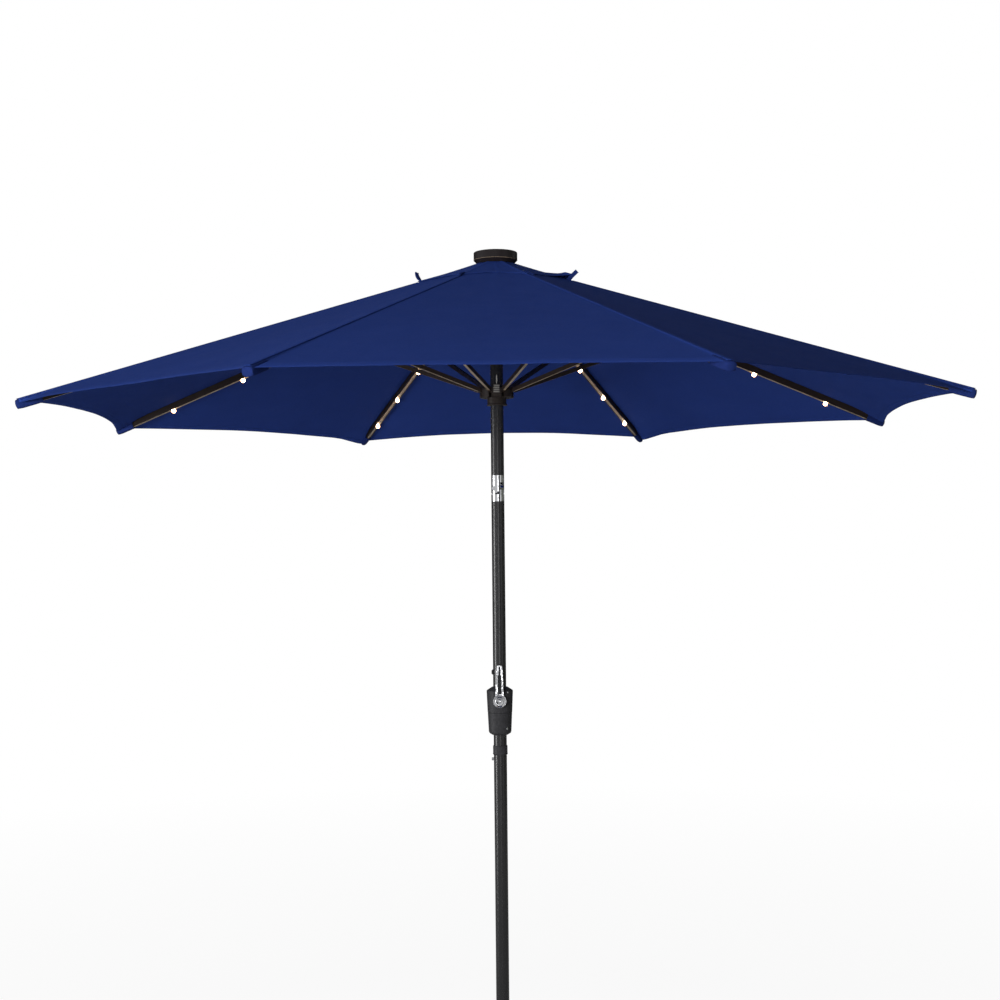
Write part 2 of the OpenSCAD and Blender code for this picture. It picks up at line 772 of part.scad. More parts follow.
module pulley() {
    pin_half = sqrt(pow(pole_r, 2) - pow(pulley_y, 2)) - 0.4;
    color(pale) translate([0, pulley_y, pulley_z]) {
        rotate([0, 90, 0]) rotate_extrude() polygon([
            [0, -pulley_w / 2], [pulley_r, -pulley_w / 2], [pulley_r, -groove_w / 2],
            [groove_r, -groove_w / 2], [groove_r, groove_w / 2], [pulley_r, groove_w / 2],
            [pulley_r, pulley_w / 2], [0, pulley_w / 2]
        ]);
        rod_x(pulley_pin_r, -pin_half, pin_half);
    }
}

// The cord passes beside the tilt pin
tilt_cord = [-cord_offset * sin(tilt_azimuth), cord_offset * cos(tilt_azimuth), 0];
drum_cord = [drum_r + cord_r + pin_gap, 0, 0];

module cord_lower() {
    bend = [0, 0, tilt_low_z - plug_l - 4] + tilt_cord;
    tongue_top = sqrt(pow(knuckle_r, 2) - pow(cord_offset, 2));
    color(pale) {
        cord_run([0, 0, crank_z] + drum_cord, bend - [0, 0, knot_in], cord_r);
        translate(bend) sphere(r = knot_r, $fn = 24);
        cord_run(bend + [0, 0, knot_in], [0, 0, tilt_z + tongue_top - cord_r] + tilt_cord, cord_r);
    }
}

module cord_upper() {
    bend = [0, 0, tilt_top_z + plug_l + 4] + tilt_cord;
    over = [0, cord_back_y + pin_gap, pulley_z - 2 * pulley_r];
    color(pale) {
        cord_run([0, 0, tilt_z + knuckle_r + knuckle_gap] + tilt_cord, bend - [0, 0, knot_in], cord_r);
        translate(bend) sphere(r = knot_r, $fn = 24);
        cord_run(bend + [0, 0, knot_in], over - [0, 0, knot_in], cord_r);
        translate(over) sphere(r = knot_r, $fn = 24);
        cord_run(over + [0, 0, knot_in], over + [0, 0, 2 * pulley_r], cord_r);
        translate([0, pulley_y, pulley_z]) rotate([90, 0, 90]) rotate_extrude(angle = 180)
            translate([groove_r + cord_r + pin_gap, 0]) circle(r = cord_r, $fn = 24);
    }
}

module cord_drop() {
    color(pale) cord_run(
        [0, cord_front_y - pin_gap, pulley_z - 0.1],
        [0, -anchor_in - cord_r - 2.5, anchor_top_z + slip_gap],
        cord_r
    );
}

// ---- Cap ----

module solar_cap() {
    cap_r = cap_d / 2;
    low = canopy_top_z;
    corner = low + neck_h;
    ceiling = overall_h - 6;
    recess = 3;
    color("#2b2526") difference() {
        union() {
            difference() {
                rotate_extrude($fn = 96) polygon(concat(
                    [[neck_r - 2.5, low], [neck_r, low], [cap_r - 1.5, corner - 0.5], [cap_r, corner + 2]],
                    arc(cap_r - cap_round, overall_h - cap_round, cap_round, 0, 90, 6),
                    [[0, overall_h], [0, ceiling], [cap_r - cap_wall - 4, ceiling]],
                    [[cap_r - cap_wall, ceiling - 4], [cap_r - cap_wall, corner + 2]]
                ));
                translate([0, 0, overall_h - recess]) cylinder(r = panel_d / 2 + pin_gap, h = recess + 1);
            }
            tube(12, 6, hub_z + hub_up, ceiling + 1);
        }
        translate([0, 0, switch_z]) rod_y(switch_r + pin_gap, cap_r - 12, cap_r + 1);
    }
}

module solar_panel() {
    recess = 3;
    color("#10131c") translate([0, 0, overall_h - recess])
        cylinder(r = panel_d / 2, h = recess - 0.8, $fn = 96);
}

module battery() {
    ceiling = overall_h - 6;
    color("#3f6a4a") for (side = [-1, 1])
        translate([side * (12 + cell_r + 2), 0, ceiling - slip_gap - cell_r])
            rod_y(cell_r, -cell_l / 2, cell_l / 2);
}

module light_switch() {
    cap_r = cap_d / 2;
    color("#8c8c8c") translate([0, 0, switch_z]) {
        rod_y(switch_r, cap_r - 6, cap_r + 1.8);
        rod_y(switch_r + 1.2, cap_r - 7.6, cap_r - 5.5);
    }
}

// ---- Canopy frame ----

// Channel with its mouth down and its lips turned out
module channel_outline(w, h, wall, lip) {
    difference() {
        union() {
            translate([-w / 2, -h / 2]) square([w, h]);
            translate([-w / 2 - lip, -h / 2]) square([w + 2 * lip, wall]);
        }
        translate([-w / 2 + wall, -h / 2 - 1]) square([w - 2 * wall, h - wall + 1]);
    }
}

module rib(i) {
    head = 1.2;
    tip_x = rib_len - tip_l;
    color(bronze) rib_frame(i) difference() {
        union() {
            // hub end
            cross_pin(tab_r, hub_tab_w);
            translate([0, -hub_tab_w / 2, -tab_r]) cube([rib_start + 2, hub_tab_w, 2 * tab_r]);
            translate([0, 0, -pin_up]) {
                along_x(rib_start, tip_x) channel_outline(rib_w, rib_h, rib_wall, rib_lip);
                translate([rib_start, -rib_tab_w / 2, -rib_h / 2 + 1])
                    cube([rib_tab_in, rib_tab_w, rib_h - 2]);
                // plug at the tip
                translate([tip_x - 30, -rib_tab_w / 2, -rib_h / 2 + 1]) cube([31, rib_tab_w, rib_h - 2]);
                translate([tip_x, 0, 0]) tip_plug();
            }
            // rivet that carries the strut
            translate([rivet_x, 0, rivet_v]) {
                cross_pin(rivet_r, rib_w + 1);
                for (side = [-1, 1])
                    translate([0, side * (rib_w / 2 + head / 2), 0]) cross_pin(rivet_r + 1.6, head);
            }
        }
        cross_pin(hub_pin_r + pin_gap, 2 * hub_tab_w);
    }
}

module tip_plug() {
    w = rib_w + 1.4;
    h = rib_h + 1;
    intersection() {
        translate([0, -w / 2, -h / 2]) cube([tip_l, w, h]);
        translate([tip_l - h * 0.75, 0, 0]) cross_pin(h * 0.75, w + 2);
    }
}

module strut(i) {
    color(bronze) strut_frame(i) difference() {
        union() {
            along_x(strut_tab_l, strut_len - strut_tab_l) channel_outline(strut_w, strut_h, strut_wall, 0);
            for (x = [0, strut_len]) translate([x, 0, 0]) cross_pin(strut_eye_r, strut_w);
            translate([0, -strut_w / 2, -strut_h / 2]) cube([strut_tab_l + 2, strut_w, strut_h]);
            translate([strut_len - strut_tab_l - 2, -strut_w / 2, -strut_h / 2])
                cube([strut_tab_l + 2, strut_w, strut_h]);
        }
        translate([strut_len, 0, 0]) cross_pin(rivet_r + pin_gap, 2 * strut_w);
    }
}

module lights(i) {
    wire_v = rib_h / 2 - pin_up - rib_wall - slip_gap - wire_r;
    at_side = abs(cos(rib_azimuth(i))) > cos(45);
    first = along_rib(at_side ? side_lamp_first_r : lamp_first_r, bulb_v);
    step = (at_side ? side_lamp_pitch : lamp_pitch) / cos(canopy_slope);
    last_lamp = (at_side ? side_lamp_count : lamp_count) - 1;
    socket_r = 3;
    color("#f2efe6") rib_frame(i) {
        translate([0, 0, wire_v]) rod_x(wire_r, rib_start + rib_tab_in + 2, first + last_lamp * step + 4);
        for (k = [0:last_lamp]) translate([first + k * step, 0, 0]) {
            translate([0, 0, bulb_v]) cylinder(r = socket_r, h = wire_v - bulb_v);
            translate([0, 0, bulb_v]) sphere(r = bulb_r, $fn = 32);
        }
    }
}

// ---- Canopy ----

// Distance of a panel's edge from its straight outer line, 0 at a rib and dip at the middle of a gore
function hem_in(w, dip) = dip / cos(half_gore) * (1 - pow(1 - abs(w), 2));

// A point of one strip: t is measured along the rib, w runs from -1 to 1 across it
function strip_point(t, w, lift) =
    let (
        reach = abs(w) * (1 - sew_gap / (t * sin(half_gore) * cos(half_gore))),
        side = w < 0 ? -1 : 1
    )
    [
        t * (1 - reach * pow(sin(half_gore), 2)),
        side * reach * t * sin(half_gore) * cos(half_gore),
        canopy_z(t) + lift
    ];

// One closed strip of fabric, from mid-gore to mid-gore
module strip(t_in, t_out, dip, lift, bow, climb, rows) {
    cols = 3;
    across = 2 * cols + 1;
    layer = (rows + 1) * across;
    function fill(w) = 1 - pow(1 - abs(w), 2);
    function station(i, w) = t_in + (t_out - hem_in(w, dip) - t_in) * i / rows;
    function rise(i, w) = climb * pow(1 - i / rows, 2) + (bow > 0
        ? bow * fill(w) * pow(i / rows, 1.5)
        : bow * fill(w) * sin(180 * i / rows));
    points = [
        for (down = [0, fabric_v]) for (i = [0:rows]) for (j = [-cols:cols])
            strip_point(station(i, j / cols), j / cols, lift + rise(i, j / cols) - down)
    ];
    function at(i, j, k) = k * layer + i * across + j;
    faces = concat(
        [for (i = [0:rows - 1]) for (j = [0:across - 2]) each [
            [at(i, j, 0), at(i, j + 1, 0), at(i + 1, j + 1, 0)],
            [at(i, j, 0), at(i + 1, j + 1, 0), at(i + 1, j, 0)],
            [at(i, j, 1), at(i + 1, j + 1, 1), at(i, j + 1, 1)],
            [at(i, j, 1), at(i + 1, j, 1), at(i + 1, j + 1, 1)]
        ]],
        [for (i = [0:rows - 1]) for (j = [0, across - 1]) each j == 0
            ? [[at(i, j, 0), at(i + 1, j, 0), at(i, j, 1)], [at(i + 1, j, 0), at(i + 1, j, 1), at(i, j, 1)]]
            : [[at(i, j, 0), at(i, j, 1), at(i + 1, j, 0)], [at(i + 1, j, 0), at(i, j, 1), at(i + 1, j, 1)]]],
        [for (j = [0:across - 2]) for (i = [0, rows]) each i == 0
            ? [[at(i, j, 0), at(i, j, 1), at(i, j + 1, 0)], [at(i, j + 1, 0), at(i, j, 1), at(i, j + 1, 1)]]
            : [[at(i, j, 0), at(i, j + 1, 0), at(i, j, 1)], [at(i, j + 1, 0), at(i, j + 1, 1), at(i, j, 1)]]]
    );
    polyhedron(points = points, faces = faces);
}

// Sleeve under the strip that the rib's tip slides into
module tip_pocket() {
    inner_w = rib_w + 2 * rib_lip + 0.8;
    inner_h = rib_h + rib_drop + 0.6;
    top_v = rib_h / 2 - pin_up + rib_drop;
    along_x(rib_len - tip_l - pocket_l, rib_len - tip_l) difference() {
        translate([-inner_w / 2 - fabric_t, top_v - inner_h - fabric_t])
            square([inner_w + 2 * fabric_t, inner_h + fabric_t - 0.6]);
        translate([-inner_w / 2, top_v - inner_h]) square([inner_w, inner_h + fabric_t]);
    }
}

module canopy(i) {
    color(navy) {
        around(i) strip(vent_hole_r, canopy_r - tip_l, hem_dip, 0, -panel_sag, 0, 6);
        around(i) strip(neck_r, vent_flap_r, 12, flap_rest, vent_lift, flap_rise, 4);
        rib_frame(i) tip_pocket();
    }
}

base_plate();
base_stem();
base_feet();
base_knob();
lower_pole();
pole_collar();
snap_button();
main_pole();
crank_housing_front();
crank_housing_back();
crank_spool();
crank_arm();
crank_grip();
tilt_lower();
tilt_upper();
tilt_button();
upper_pole();
top_hub();
pulley();
cord_lower();
cord_upper();
cord_drop();
runner();
cord_anchor();
solar_cap();
solar_panel();
battery();
light_switch();
for (i = [1:rib_count]) {
    rib(i);
    strut(i);
    lights(i);
    canopy(i);
}
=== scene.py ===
"""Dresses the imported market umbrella: cloth, painted tubes, plated joints, lamps, and a plain studio.

Every length is in metres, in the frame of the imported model: the origin is on the floor under the pole, +Z is
up, and the crank faces -Y.
"""

import json
import logging
import math
from collections import Counter
from dataclasses import dataclass
from enum import Enum
from typing import Callable, Optional, Sequence

import bmesh
import bpy
from mathutils import Matrix, Vector, noise


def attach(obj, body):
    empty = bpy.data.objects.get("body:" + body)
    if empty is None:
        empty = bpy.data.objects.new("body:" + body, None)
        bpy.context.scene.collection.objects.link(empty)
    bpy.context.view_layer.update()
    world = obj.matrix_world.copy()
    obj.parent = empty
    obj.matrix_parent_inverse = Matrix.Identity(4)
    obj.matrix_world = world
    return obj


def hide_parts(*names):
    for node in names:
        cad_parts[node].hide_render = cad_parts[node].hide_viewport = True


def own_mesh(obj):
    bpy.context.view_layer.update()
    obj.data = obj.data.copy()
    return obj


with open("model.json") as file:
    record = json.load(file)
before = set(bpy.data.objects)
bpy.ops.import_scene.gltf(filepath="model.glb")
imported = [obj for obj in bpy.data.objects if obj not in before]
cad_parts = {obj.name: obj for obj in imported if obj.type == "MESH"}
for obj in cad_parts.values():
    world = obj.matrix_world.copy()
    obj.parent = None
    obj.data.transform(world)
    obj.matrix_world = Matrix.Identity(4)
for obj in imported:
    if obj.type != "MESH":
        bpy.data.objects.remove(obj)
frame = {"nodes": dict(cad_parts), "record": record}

logging.basicConfig(level=logging.INFO, format="%(name)s: %(message)s")
log = logging.getLogger("umbrella")

Tree = bpy.types.NodeTree
Socket = bpy.types.NodeSocket
Mesh = bmesh.types.BMesh
Piece = bpy.types.Object
# A point's place, its spot on the cloth's own map, and its distance from a hem.
Laid = tuple[Vector, tuple[float, float], float]

MM = 0.001
RIB_COUNT = 8
RIBS = range(1, RIB_COUNT + 1)
HALF_GORE = math.radians(22.5)
WHITE = (1, 1, 1, 1)
# Turns what stands upright, such as a lathed outline, so that its axis looks to the front.
FACING_FRONT = Matrix.Rotation(math.pi / 2, 4, "X")
# Distances from a rib's seam of the narrow columns of cloth beside it.
SEAM_STEPS = (0.0, 0.0028, 0.0056, 0.0066, 0.0104, 0.016, 0.027)


# ---------------------------------------------------------------- helpers


def linear(code: str) -> tuple[float, float, float, float]:
    """Turns an sRGB hex colour into linear values.

    Args:
        code: A colour such as "#1d2a5c".

    Returns:
        Red, green, blue and an alpha of 1.
    """
    raw = code.lstrip("#")
    out = []
    for start in (0, 2, 4):
        value = int(raw[start : start + 2], 16) / 255
        out.append(value / 12.92 if value <= 0.04045 else ((value + 0.055) / 1.055) ** 2.4)
    return out[0], out[1], out[2], 1.0


def add_node(
    tree: Tree,
    kind: str,
    settings: Optional[dict] = None,
    links: Optional[dict] = None,
    **attributes: object,
) -> bpy.types.Node:
    """Adds one shader node.

    Args:
        tree: The node tree that gets it.
        kind: Blender's name for the node's type.
        settings: Values for its input sockets, by name or number.
        links: Output sockets that feed its inputs, by name or number.
        attributes: Properties of the node itself, such as operation.

    Returns:
        The new node.
    """
    node = tree.nodes.new(kind)
    for key, value in attributes.items():
        setattr(node, key, value)
    for key, value in (settings or {}).items():
        node.inputs[key].default_value = value
    for key, socket in (links or {}).items():
        tree.links.new(socket, node.inputs[key])
    return node


def maths(tree: Tree, operation: str, *values: object) -> Socket:
    """Works out one number in a shader.

    Args:
        tree: The node tree.
        operation: The name of the sum, such as "MULTIPLY".
        values: Up to three numbers or output sockets.

    Returns:
        The socket that holds the result.
    """
    settings = {n: v for n, v in enumerate(values) if isinstance(v, (int, float))}
    links = {n: v for n, v in enumerate(values) if not isinstance(v, (int, float))}
    return add_node(tree, "ShaderNodeMath", settings, links, operation=operation).outputs[0]


def span(tree: Tree, value: Socket, low: float, high: float, start: float = 0.3, stop: float = 0.7) -> Socket:
    """Maps a number from one range to another in a shader.

    Args:
        tree: The node tree.
        value: The number.
        low: What it gives at the start of its range.
        high: What it gives at the end.
        start: Where its range starts; by default a noise's usual low.
        stop: Where its range ends.

    Returns:
        The socket that holds the result.
    """
    settings = {"From Min": start, "From Max": stop, "To Min": low, "To Max": high}
    return add_node(tree, "ShaderNodeMapRange", settings, {"Value": value}).outputs[0]


def blend(tree: Tree, factor: Socket, low: tuple | Socket, high: tuple | Socket) -> Socket:
    """Mixes two colours in a shader.

    Args:
        tree: The node tree.
        factor: Chooses between them, from 0 to 1.
        low: The colour at 0, as linear values or a socket.
        high: The colour at 1.

    Returns:
        The mixed colour's socket.
    """
    settings = {n: c for n, c in ((6, low), (7, high)) if isinstance(c, tuple)}
    links = {n: c for n, c in ((0, factor), (6, low), (7, high)) if not isinstance(c, tuple)}
    return add_node(tree, "ShaderNodeMix", settings, links, data_type="RGBA").outputs[2]


def axes(tree: Tree, coords: Socket) -> Sequence[Socket]:
    """Parts a place into its X, Y and Z."""
    return add_node(tree, "ShaderNodeSeparateXYZ", None, {0: coords}).outputs


def blank(owner: bpy.types.Material | bpy.types.World) -> Tree:
    """Gives a material or a world an empty node tree.

    Args:
        owner: The material or the world.

    Returns:
        Its tree.
    """
    owner.use_nodes = True
    owner.node_tree.nodes.clear()
    return owner.node_tree


def finished(mesh: Mesh, name: str) -> bpy.types.Mesh:
    """Turns a bmesh into mesh data.

    Args:
        mesh: The bmesh, which is freed.
        name: The data's name.

    Returns:
        The mesh data.
    """
    data = bpy.data.meshes.new(name)
    mesh.to_mesh(data)
    mesh.free()
    return data


def into_scene(name: str, data: bpy.types.ID) -> Piece:
    """Makes an object and puts it in the scene.

    Args:
        name: Its name.
        data: What it shows: a mesh, a light or a camera.

    Returns:
        The object.
    """
    made = bpy.data.objects.new(name, data)
    bpy.context.scene.collection.objects.link(made)
    return made


def half_gore(reach: float) -> float:
    """Gives how far beside its rib a panel's middle lies, at a reach from the axis."""
    return reach * math.sin(HALF_GORE) * math.cos(HALF_GORE)


# ---------------------------------------------------------------- finishes


@dataclass(frozen=True)
class Finish:
    """What all finishes share: a shader with a colour that varies a little and a fine bump.

    Attributes:
        name: The material's name.
        tone: The surface's colour as sRGB hex.
        roughness: How matt it is, from 0 to 1.
        shift: How far the colour strays from the tone, as a share.
        shift_mm: Size of the patches in which it strays.
        grain_mm: Size of the bumps of its surface.
        grain_depth_mm: Height of those bumps.
        rough_shift: How far the roughness strays.
    """

    name: str
    tone: str
    roughness: float = 0.5
    shift: float = 0.06
    shift_mm: float = 60.0
    grain_mm: float = 1.2
    grain_depth_mm: float = 0.03
    rough_shift: float = 0.06

    def build(self) -> bpy.types.Material:
        """Makes the material.

        Returns:
            The material, ready for a piece.
        """
        material = bpy.data.materials.new(self.name)
        tree = blank(material)
        shader = add_node(tree, "ShaderNodeBsdfPrincipled", {"Roughness": self.roughness, **self.sockets()})
        add_node(tree, "ShaderNodeOutputMaterial", None, {"Surface": shader.outputs[0]})
        coords = self.coordinates(tree)
        tree.links.new(self.colour(tree, coords), shader.inputs["Base Color"])
        if self.rough_shift:
            tree.links.new(self.dullness(tree, coords), shader.inputs["Roughness"])
        settings = {"Strength": 1.0, "Distance": self.grain_depth_mm * MM}
        bump = add_node(tree, "ShaderNodeBump", settings, {"Height": self.height(tree, coords)})
        tree.links.new(bump.outputs[0], shader.inputs["Normal"])
        return material

    def sockets(self) -> dict:
        """Gives what is the same all over the surface, by the shader's own sockets."""
        return {}

    def coordinates(self, tree: Tree) -> Socket:
        """Gives the place that every pattern reads: the piece's own metres."""
        return add_node(tree, "ShaderNodeTexCoord").outputs["Object"]

    def patches(self, tree: Tree, coords: Socket, size_mm: float, detail: float = 2.0) -> Socket:
        """Gives a soft noise from 0 to 1, whose patches have one real size and some finer layers."""
        settings = {"Scale": 1000 / size_mm, "Detail": detail, "Roughness": 0.55}
        return add_node(tree, "ShaderNodeTexNoise", settings, {"Vector": coords}).outputs["Fac"]

    def waves(self, tree: Tree, distance: Socket, half_mm: float) -> Socket:
        """Gives a sine along a distance, that crosses zero once in each half wave."""
        turn = 2 * math.pi / (2 * half_mm * MM)
        return maths(tree, "SINE", maths(tree, "MULTIPLY", distance, turn))

    def lines(self, tree: Tree, distance: Socket, pitch_mm: float, share: float) -> Socket:
        """Gives 1 on the first share of every step along a distance, and 0 on the rest."""
        step = maths(tree, "FRACT", maths(tree, "DIVIDE", distance, pitch_mm * MM))
        return maths(tree, "LESS_THAN", step, share)

    def colour(self, tree: Tree, coords: Socket) -> Socket:
        """Gives the tone, lighter and darker in soft patches."""
        return self.vary(tree, self.patches(tree, coords, self.shift_mm))

    def vary(self, tree: Tree, factor: Socket) -> Socket:
        """Mixes a darker and a lighter form of the tone, as the factor says.

        Args:
            tree: The node tree.
            factor: Chooses between them, from 0 to 1.

        Returns:
            The mixed colour's socket.
        """
        tone = linear(self.tone)[:3]
        low = tuple(c * (1 - self.shift) for c in tone) + (1.0,)
        high = tuple(min(1.0, c * (1 + self.shift)) for c in tone) + (1.0,)
        return blend(tree, span(tree, factor, 0.0, 1.0), low, high)

    def dullness(self, tree: Tree, coords: Socket) -> Socket:
        """Gives a roughness that strays a little, as handling leaves it.

        Args:
            tree: The node tree.
            coords: The place that it reads.

        Returns:
            The roughness's socket.
        """
        spots = self.patches(tree, coords, self.shift_mm * 0.4, 3.0)
        low, high = self.roughness - self.rough_shift, self.roughness + self.rough_shift
        return span(tree, spots, max(0.0, low), min(1.0, high))

    def height(self, tree: Tree, coords: Socket) -> Socket:
        """Gives the height of the surface's fine bumps."""
        return self.patches(tree, coords, self.grain_mm)


@dataclass(frozen=True)
class WovenPolyester(Finish):
    """Solution-dyed polyester canvas: matt, with a soft bloom at grazing angles and sewn seams.

    Attributes:
        thread_mm: Spacing of the threads. The real 0.5 mm is too fine to show, so it is drawn coarser.
        stitch_mm: Length of one stitch with its gap.
        stitch_share: How much of that the stitch takes.
        bloom: Strength of the glow of loose fibres at grazing angles.
        bloom_tone: Colour of that glow.
        seam_mm: Distance of the two rows of stitches from the middle of a rib seam.
        hem_rows_mm: Distances of the rows of stitches from a hem.
        half_row_mm: Half the width of a row of stitches.
        yarn_mm: Size of the slubs of its yarn.
    """

    thread_mm: float = 1.6
    stitch_mm: float = 6.0
    stitch_share: float = 0.68
    bloom: float = 0.05
    bloom_tone: str = "#3550a0"
    seam_mm: float = 4.2
    hem_rows_mm: tuple[float, float] = (4.0, 21.0)
    half_row_mm: float = 0.55
    yarn_mm: float = 7.0

    def sockets(self) -> dict:
        """Gives the bloom of loose fibres and a weak gloss."""
        bloom = {"Sheen Weight": self.bloom, "Sheen Roughness": 0.45, "Sheen Tint": linear(self.bloom_tone)}
        return {**bloom, "Specular IOR Level": 0.03}

    def coordinates(self, tree: Tree) -> Socket:
        """Reads the cloth's own map in metres: across the panel, and down along the rib."""
        return add_node(tree, "ShaderNodeUVMap", uv_map="cloth").outputs[0]

    def stitches(self, tree: Tree, coords: Socket) -> Socket:
        """Gives 1 on a stitch and 0 elsewhere.

        Args:
            tree: The node tree.
            coords: The cloth's map.

        Returns:
            The mask's socket.
        """
        across, along = axes(tree, coords)[:2]
        edge = add_node(tree, "ShaderNodeAttribute", attribute_name="from_hem").outputs["Fac"]
        wide = self.half_row_mm * MM
        seam = maths(tree, "COMPARE", maths(tree, "ABSOLUTE", across), self.seam_mm * MM, wide)
        seam = maths(tree, "MULTIPLY", seam, self.lines(tree, along, self.stitch_mm, self.stitch_share))
        rows = [maths(tree, "COMPARE", edge, row * MM, wide) for row in self.hem_rows_mm]
        dashes = self.lines(tree, across, self.stitch_mm, self.stitch_share)
        return maths(tree, "MAXIMUM", seam, maths(tree, "MULTIPLY", maths(tree, "MAXIMUM", *rows), dashes))

    def colour(self, tree: Tree, coords: Socket) -> Socket:
        """Gives the dyed colour: slubs of yarn, broad soft patches, and slightly paler thread in the seams.

        Args:
            tree: The node tree.
            coords: The cloth's map.

        Returns:
            The colour's socket.
        """
        broad = maths(tree, "MULTIPLY", self.patches(tree, coords, self.shift_mm), 0.45)
        yarn = maths(tree, "MULTIPLY", self.patches(tree, coords, self.yarn_mm, 1.0), 0.55)
        thread = tuple(min(1.0, c * 1.25) for c in linear(self.tone)[:3]) + (1.0,)
        return blend(tree, self.stitches(tree, coords), self.vary(tree, maths(tree, "ADD", broad, yarn)), thread)

    def height(self, tree: Tree, coords: Socket) -> Socket:
        """Gives the height of a plain weave with its stitches pulled in.

        Args:
            tree: The node tree.
            coords: The cloth's map.

        Returns:
            The height's socket.
        """
        warp, weft = (self.waves(tree, side, self.thread_mm) for side in axes(tree, coords)[:2])
        stitch = maths(tree, "MULTIPLY", self.stitches(tree, coords), -2.0)
        return maths(tree, "ADD", maths(tree, "MULTIPLY", warp, weft), stitch)


@dataclass(frozen=True)
class Glossed(Finish):
    """A finish whose reflections have a strength of their own.

    Attributes:
        gloss: Strength of its reflections.
    """

    gloss: float = 0.2

    def sockets(self) -> dict:
        """Gives the strength of its reflections."""
        return {"Specular IOR Level": self.gloss}


@dataclass(frozen=True)
class PowderCoat(Glossed):
    """Polyester powder baked on steel tube: even and satin, with a faint orange peel."""


@dataclass(frozen=True)
class PlatedChrome(Finish):
    """Bright chrome on a zinc casting: a mirror, broken by faint polishing waves and smears."""

    def sockets(self) -> dict:
        """Makes it metal."""
        return {"Metallic": 1.0}


@dataclass(frozen=True)
class MouldedPlastic(Glossed):
    """Injection-moulded ABS or nylon from a spark-eroded tool: a fine matt texture."""


@dataclass(frozen=True)
class RibbedNylon(MouldedPlastic):
    """Grey nylon moulded with level ribs, with painted shade as a dark line in each groove between them.

    Attributes:
        rib_mm: Spacing of the ribs.
        groove_share: How much of that a groove takes.
        groove_shade_tone: Colour in the grooves.
    """

    rib_mm: float = 6.0
    groove_share: float = 0.36
    groove_shade_tone: str = "#1a1919"

    def colour(self, tree: Tree, coords: Socket) -> Socket:
        """Gives the plastic's colour with painted shade as a dark line in each groove."""
        # Painted shade: each groove is darkened in the colour.
        groove = self.lines(tree, axes(tree, coords)[2], self.rib_mm, self.groove_share)
        return blend(tree, groove, super().colour(tree, coords), linear(self.groove_shade_tone))


@dataclass(frozen=True)
class CastIron(Finish):
    """Sand-cast iron under thick paint: coarse pits that the paint has rounded.

    Attributes:
        pit_mm: Size of the pits.
    """

    pit_mm: float = 5.0

    def height(self, tree: Tree, coords: Socket) -> Socket:
        """Gives the height of rounded pits over a finer grain."""
        fine = maths(tree, "MULTIPLY", super().height(tree, coords), 0.4)
        return maths(tree, "ADD", fine, self.patches(tree, coords, self.pit_mm, 1.0))


@dataclass(frozen=True)
class MouldedRubber(Finish):
    """Pressed rubber: dull and dusty."""


@dataclass(frozen=True)
class BraidedCord(Finish):
    """Braided polyester cord: strands that cross at a slant.

    Attributes:
        strand_mm: Width of one strand.
    """

    strand_mm: float = 1.2

    def height(self, tree: Tree, coords: Socket) -> Socket:
        """Gives the height of the crossing strands.

        Args:
            tree: The node tree.
            coords: The place that it reads.

        Returns:
            The height's socket.
        """
        east, north, up = axes(tree, coords)
        sides = maths(tree, "ADD", east, north)
        slants = (maths(tree, operation, up, sides) for operation in ("ADD", "SUBTRACT"))
        return maths(tree, "MAXIMUM", *(self.waves(tree, slant, self.strand_mm) for slant in slants))


@dataclass(frozen=True)
class LampDome(Finish):
    """Clear polycarbonate over a warm diode that is switched on: white at its heart, amber at its rim.

    Attributes:
        heart: Colour of the light through the middle.
        rim: Colour of the light at the edge.
        strength: Brightness, where 1 shows as white.
    """

    heart: str = "#ffe9c4"
    rim: str = "#ff9a52"
    strength: float = 13.0

    def sockets(self) -> dict:
        """Gives the strength of its light."""
        return {"Emission Strength": self.strength}

    def colour(self, tree: Tree, coords: Socket) -> Socket:
        """Gives the plastic's colour, and feeds the light's own colour to the shader.

        Args:
            tree: The node tree.
            coords: The place that it reads.

        Returns:
            The plastic's colour socket.
        """
        edge = add_node(tree, "ShaderNodeLayerWeight", {"Blend": 0.35}).outputs["Facing"]
        shader = next(n for n in tree.nodes if n.type == "BSDF_PRINCIPLED")
        glow = blend(tree, edge, linear(self.heart), linear(self.rim))
        tree.links.new(glow, shader.inputs["Emission Color"])
        return super().colour(tree, coords)


@dataclass(frozen=True)
class SolarCells(Finish):
    """Silicon cells under clear epoxy: near-black squares with hair-thin silver fingers.

    Attributes:
        cell_mm: Size of one cell.
        gap_mm: Width of the gap between two cells.
        gap_tone: Colour in the gaps.
        finger_mm: Spacing of the thin conductors.
        finger_w_mm: Their width, wider than the real 0.1 mm, so that they show.
        finger_tone: Their colour.
    """

    cell_mm: float = 24.0
    gap_mm: float = 0.8
    gap_tone: str = "#c8ccd0"
    finger_mm: float = 3.0
    finger_w_mm: float = 0.35
    finger_tone: str = "#5b6270"

    def sockets(self) -> dict:
        """Gives the clear resin over the cells."""
        return {"Coat Weight": 0.8, "Coat Roughness": 0.05}

    def colour(self, tree: Tree, coords: Socket) -> Socket:
        """Gives the cells, the gaps between them and their fingers.

        Args:
            tree: The node tree.
            coords: The place that it reads.

        Returns:
            The colour's socket.
        """
        east, north = (maths(tree, "ADD", side, 1.0) for side in axes(tree, coords)[:2])
        fingers = self.lines(tree, east, self.finger_mm, self.finger_w_mm / self.finger_mm)
        gaps = [self.lines(tree, side, self.cell_mm, self.gap_mm / self.cell_mm) for side in (east, north)]
        cell = blend(tree, fingers, super().colour(tree, coords), linear(self.finger_tone))
        return blend(tree, maths(tree, "MAXIMUM", *gaps), cell, linear(self.gap_tone))


